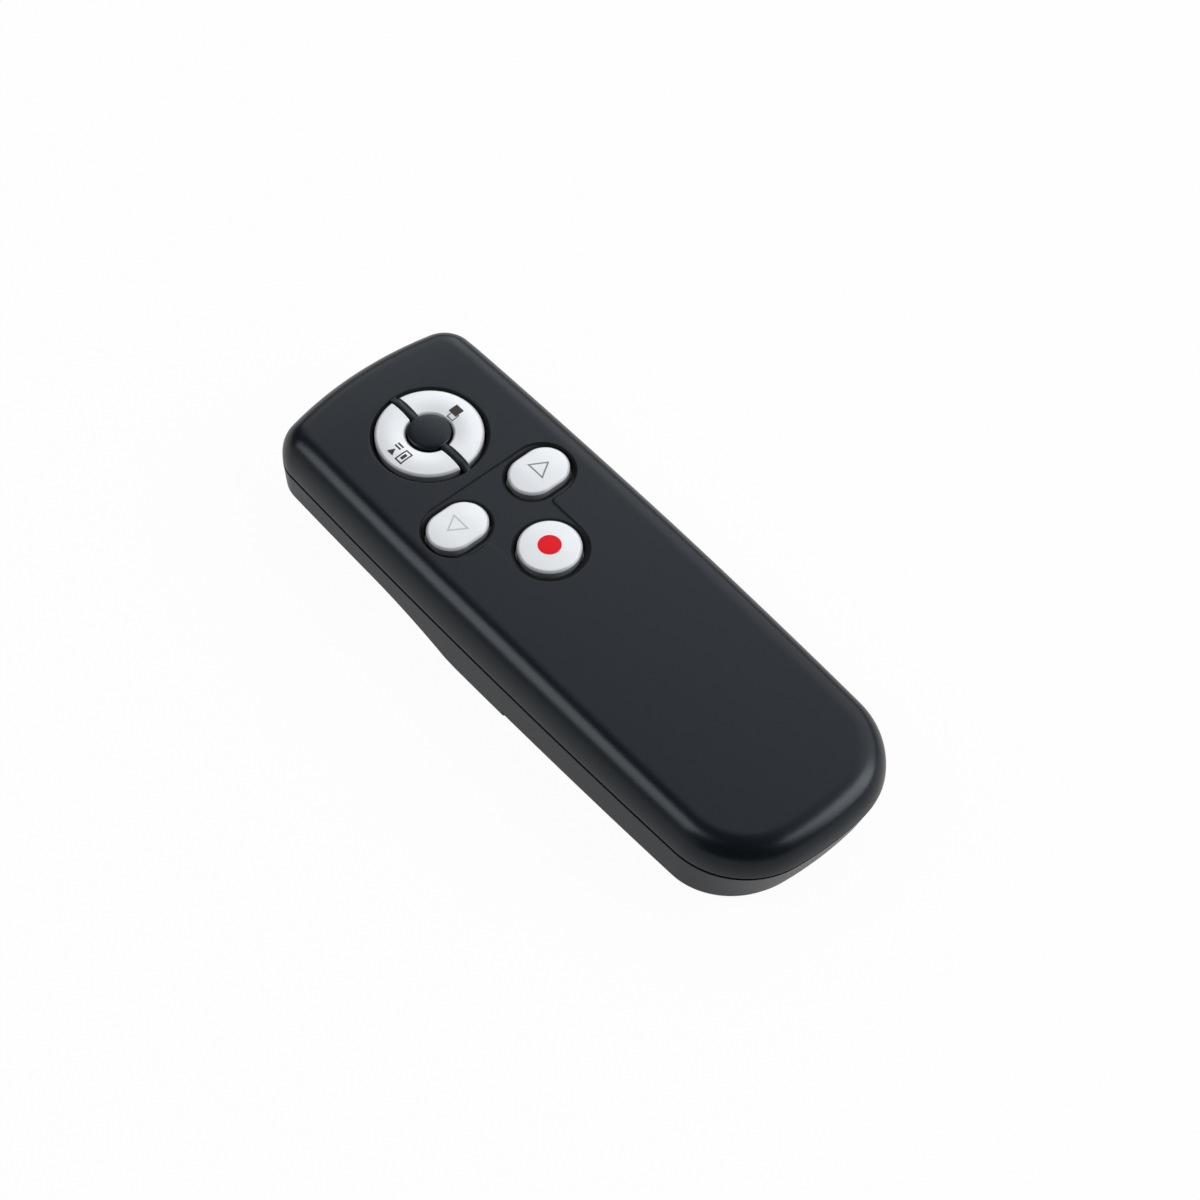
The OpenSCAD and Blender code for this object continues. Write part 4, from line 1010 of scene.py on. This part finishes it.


# ---- The pieces, each with its material and body, and the node that it replaces ----

upper_shell = finish_piece(top_cover(), SATIN_CASE, "housing", "case_plastic", "top_cover")
# Painted shade on the upper shell's parting line, panel step and wells
paint_seam_shade(upper_shell, in_upper_seam)
for cap, body, node in (
        (pill_key("previous_button_cap", -PAIR_X), "previous_button", "previous_key"),
        (pill_key("next_button_cap", PAIR_X), "next_button", "next_key"),
        (laser_key("laser_button"), "laser_button", "laser_key"),
        (ring_key("slideshow_button_cap", -1), "slideshow_button", "slideshow_key"),
        (ring_key("blank_screen_button_cap", 1), "blank_screen_button", "blank_screen_key")):
    finish_piece(cap, KEY_ENAMEL, body, "key_plastic", node)
for mark, film, body in (
        (arrow_mark("previous_mark", -1), PALE_INK, "previous_button"),
        (arrow_mark("next_mark", 1), GREY_INK, "next_button"),
        (dot_mark("laser_dot"), RED_INK, "laser_button"),
        (screen_mark("blank_screen_mark"), DARK_INK, "blank_screen_button"),
        (show_mark("slideshow_mark"), DARK_INK, "slideshow_button")):
    finish_piece(mark, film, body, "key_plastic")

lower_shell = finish_piece(bottom_cover(), SATIN_CASE, "housing", "case_plastic", "bottom_cover")
# Painted shade on the lower shell's rim along the parting line
paint_seam_shade(lower_shell, in_lower_seam)
finish_piece(battery_door(), SATIN_CASE, "battery_door", "case_plastic", "battery_door")

# The pieces inside keep their rigid solids
dress(plain_plastic("plunger_plastic", colour(150, 151, 150), colour(166, 167, 165), 0.4),
      "slideshow_plunger", "blank_screen_plunger", "previous_plunger", "next_plunger", "laser_plunger")
dress(tact_switch(), "switch_bodies")
dress(circuit_lacquer(), "circuit_board")
dress(chip_epoxy("microcontroller_epoxy", CHIP_Y, CHIP_HALF), "microcontroller")
dress(chip_epoxy("radio_epoxy", RADIO_Y, RADIO_HALF), "radio_chip")
dress(crystal_can(), "crystal")
dress(capacitor_ceramic(), "capacitors")
dress(STEEL, "board_screws", "case_screws")
dress(turned_brass(), "laser_barrel")
dress(glass("lens_glass", colour(228, 238, 244), colour(240, 247, 250), 0.02), "laser_lens")
dress(metal("diode_gold", colour(204, 164, 78), colour(226, 190, 104), 0.2), "laser_diode")
dress(glass("window_red", colour(96, 8, 12), colour(120, 12, 16), 0.05), "laser_window")
dress(plain_plastic("slide_switch_black", colour(26, 26, 28), colour(38, 38, 40), 0.45), "power_switch_body")
dress(knob_plastic(), "power_knob")
dress(cell_sleeve("cell_sleeve_left", *LEFT_CELL), "battery_left")
dress(cell_sleeve("cell_sleeve_right", *RIGHT_CELL), "battery_right")
dress(NICKEL, "link_contact", "link_spring", "positive_contact", "negative_contact", "negative_spring")


# ---- Floor, light and camera, in metres ----

WHITE, FLOOR_GREY, ROOM_GREY = (1, 1, 1, 1), (0.65, 0.65, 0.65, 1), (0.07, 0.07, 0.07, 1)
FLOOR_SIZE = 6
FLOOR_SEEN_WHITE, FLOOR_GLOSS_WHITE = 0.96, 0.3         # seen by the camera, and seen in a gloss
AZIMUTH, ELEVATION, DISTANCE = radians(-40.671), radians(54.587), 0.6083
LENS_MM, SENSOR_MM = 120, 36
SHIFT_X, SHIFT_Y = 0.0140, 0.0043
LAMPS = (               # name, direction, distance, width, height and brightness
    ("left_softbox", (-0.56, 0.43, 0.72), 1.0, 0.55, 0.7, 3.7),
    ("tail_softbox", (0.58, -0.64, 0.54), 1.0, 0.72, 0.8, 3.8),
    ("right_strip", (0.75, 0, 0.62), 1.2, 2.4, 1.15, 1.5),
    ("far_panel", (0.5, 0.76, 0.42), 1.3, 0.8, 0.6, 1.4),
    ("top_panel", (0.378, 0.44, 0.815), 1.3, 0.55, 0.55, 0.4),
    ("left_horizon", (-0.9, 0.4, 0.2), 1.3, 1.2, 0.6, 0.45))


def floor():
    """A pale floor that looks almost white to the camera and keeps the shadow."""
    bpy.ops.mesh.primitive_plane_add(size=FLOOR_SIZE)
    ground = bpy.context.object
    ground.name = "floor"
    shader = Shader("pale_floor")
    seen, _, _, glossy = shader.add("LightPath")[:4]
    matt = shader.add("BsdfDiffuse", inputs={"Color": FLOOR_GREY})[0]
    white = shader.add("Emission", inputs={"Color": WHITE, "Strength": 1.0})[0]
    share = seen * FLOOR_SEEN_WHITE + glossy * FLOOR_GLOSS_WHITE
    both = shader.add("MixShader", inputs={0: share, 1: matt, 2: white})[0]
    shader.add("OutputMaterial", inputs={"Surface": both})
    ground.data.materials.append(shader.owner)


def world():
    """A dim grey room, with white where the camera looks past the floor."""
    shader = Shader("studio", bpy.data.worlds)
    room = shader.add("Background", inputs={"Color": ROOM_GREY})[0]
    white = shader.add("Background", inputs={"Color": WHITE})[0]
    both = shader.add("MixShader", inputs={0: shader.add("LightPath")[0], 1: room, 2: white})[0]
    shader.add("OutputWorld", inputs={"Surface": both})
    bpy.context.scene.world = shader.owner


def softbox(name, direction, distance, width, height, level):
    """A flat lamp that faces the object; level is its brightness, where 1 is white."""
    lamp = bpy.data.lights.new(name, "AREA")
    lamp.shape = "RECTANGLE"
    lamp.size, lamp.size_y = width, height
    lamp.energy = level * pi * width * height
    holder = bpy.data.objects.new(name, lamp)
    away = Vector(direction).normalized()
    holder.location = away * distance
    holder.rotation_euler = away.to_track_quat("Z", "Y").to_euler()
    bpy.context.scene.collection.objects.link(holder)


def camera():
    back = Vector((sin(AZIMUTH) * cos(ELEVATION), -cos(AZIMUTH) * cos(ELEVATION), sin(ELEVATION)))
    data = bpy.data.cameras.new("camera")
    data.lens, data.sensor_width = LENS_MM, SENSOR_MM
    data.shift_x, data.shift_y = SHIFT_X, SHIFT_Y
    holder = bpy.data.objects.new("camera", data)
    holder.location = Vector((0, 0, SPLIT_Z * MM)) + back * DISTANCE
    holder.rotation_euler = (-back).to_track_quat("-Z", "Y").to_euler()
    bpy.context.scene.collection.objects.link(holder)
    bpy.context.scene.camera = holder


floor()
world()
for lamp in LAMPS:
    softbox(*lamp)
camera()
bpy.context.scene.view_settings.view_transform = "Standard"
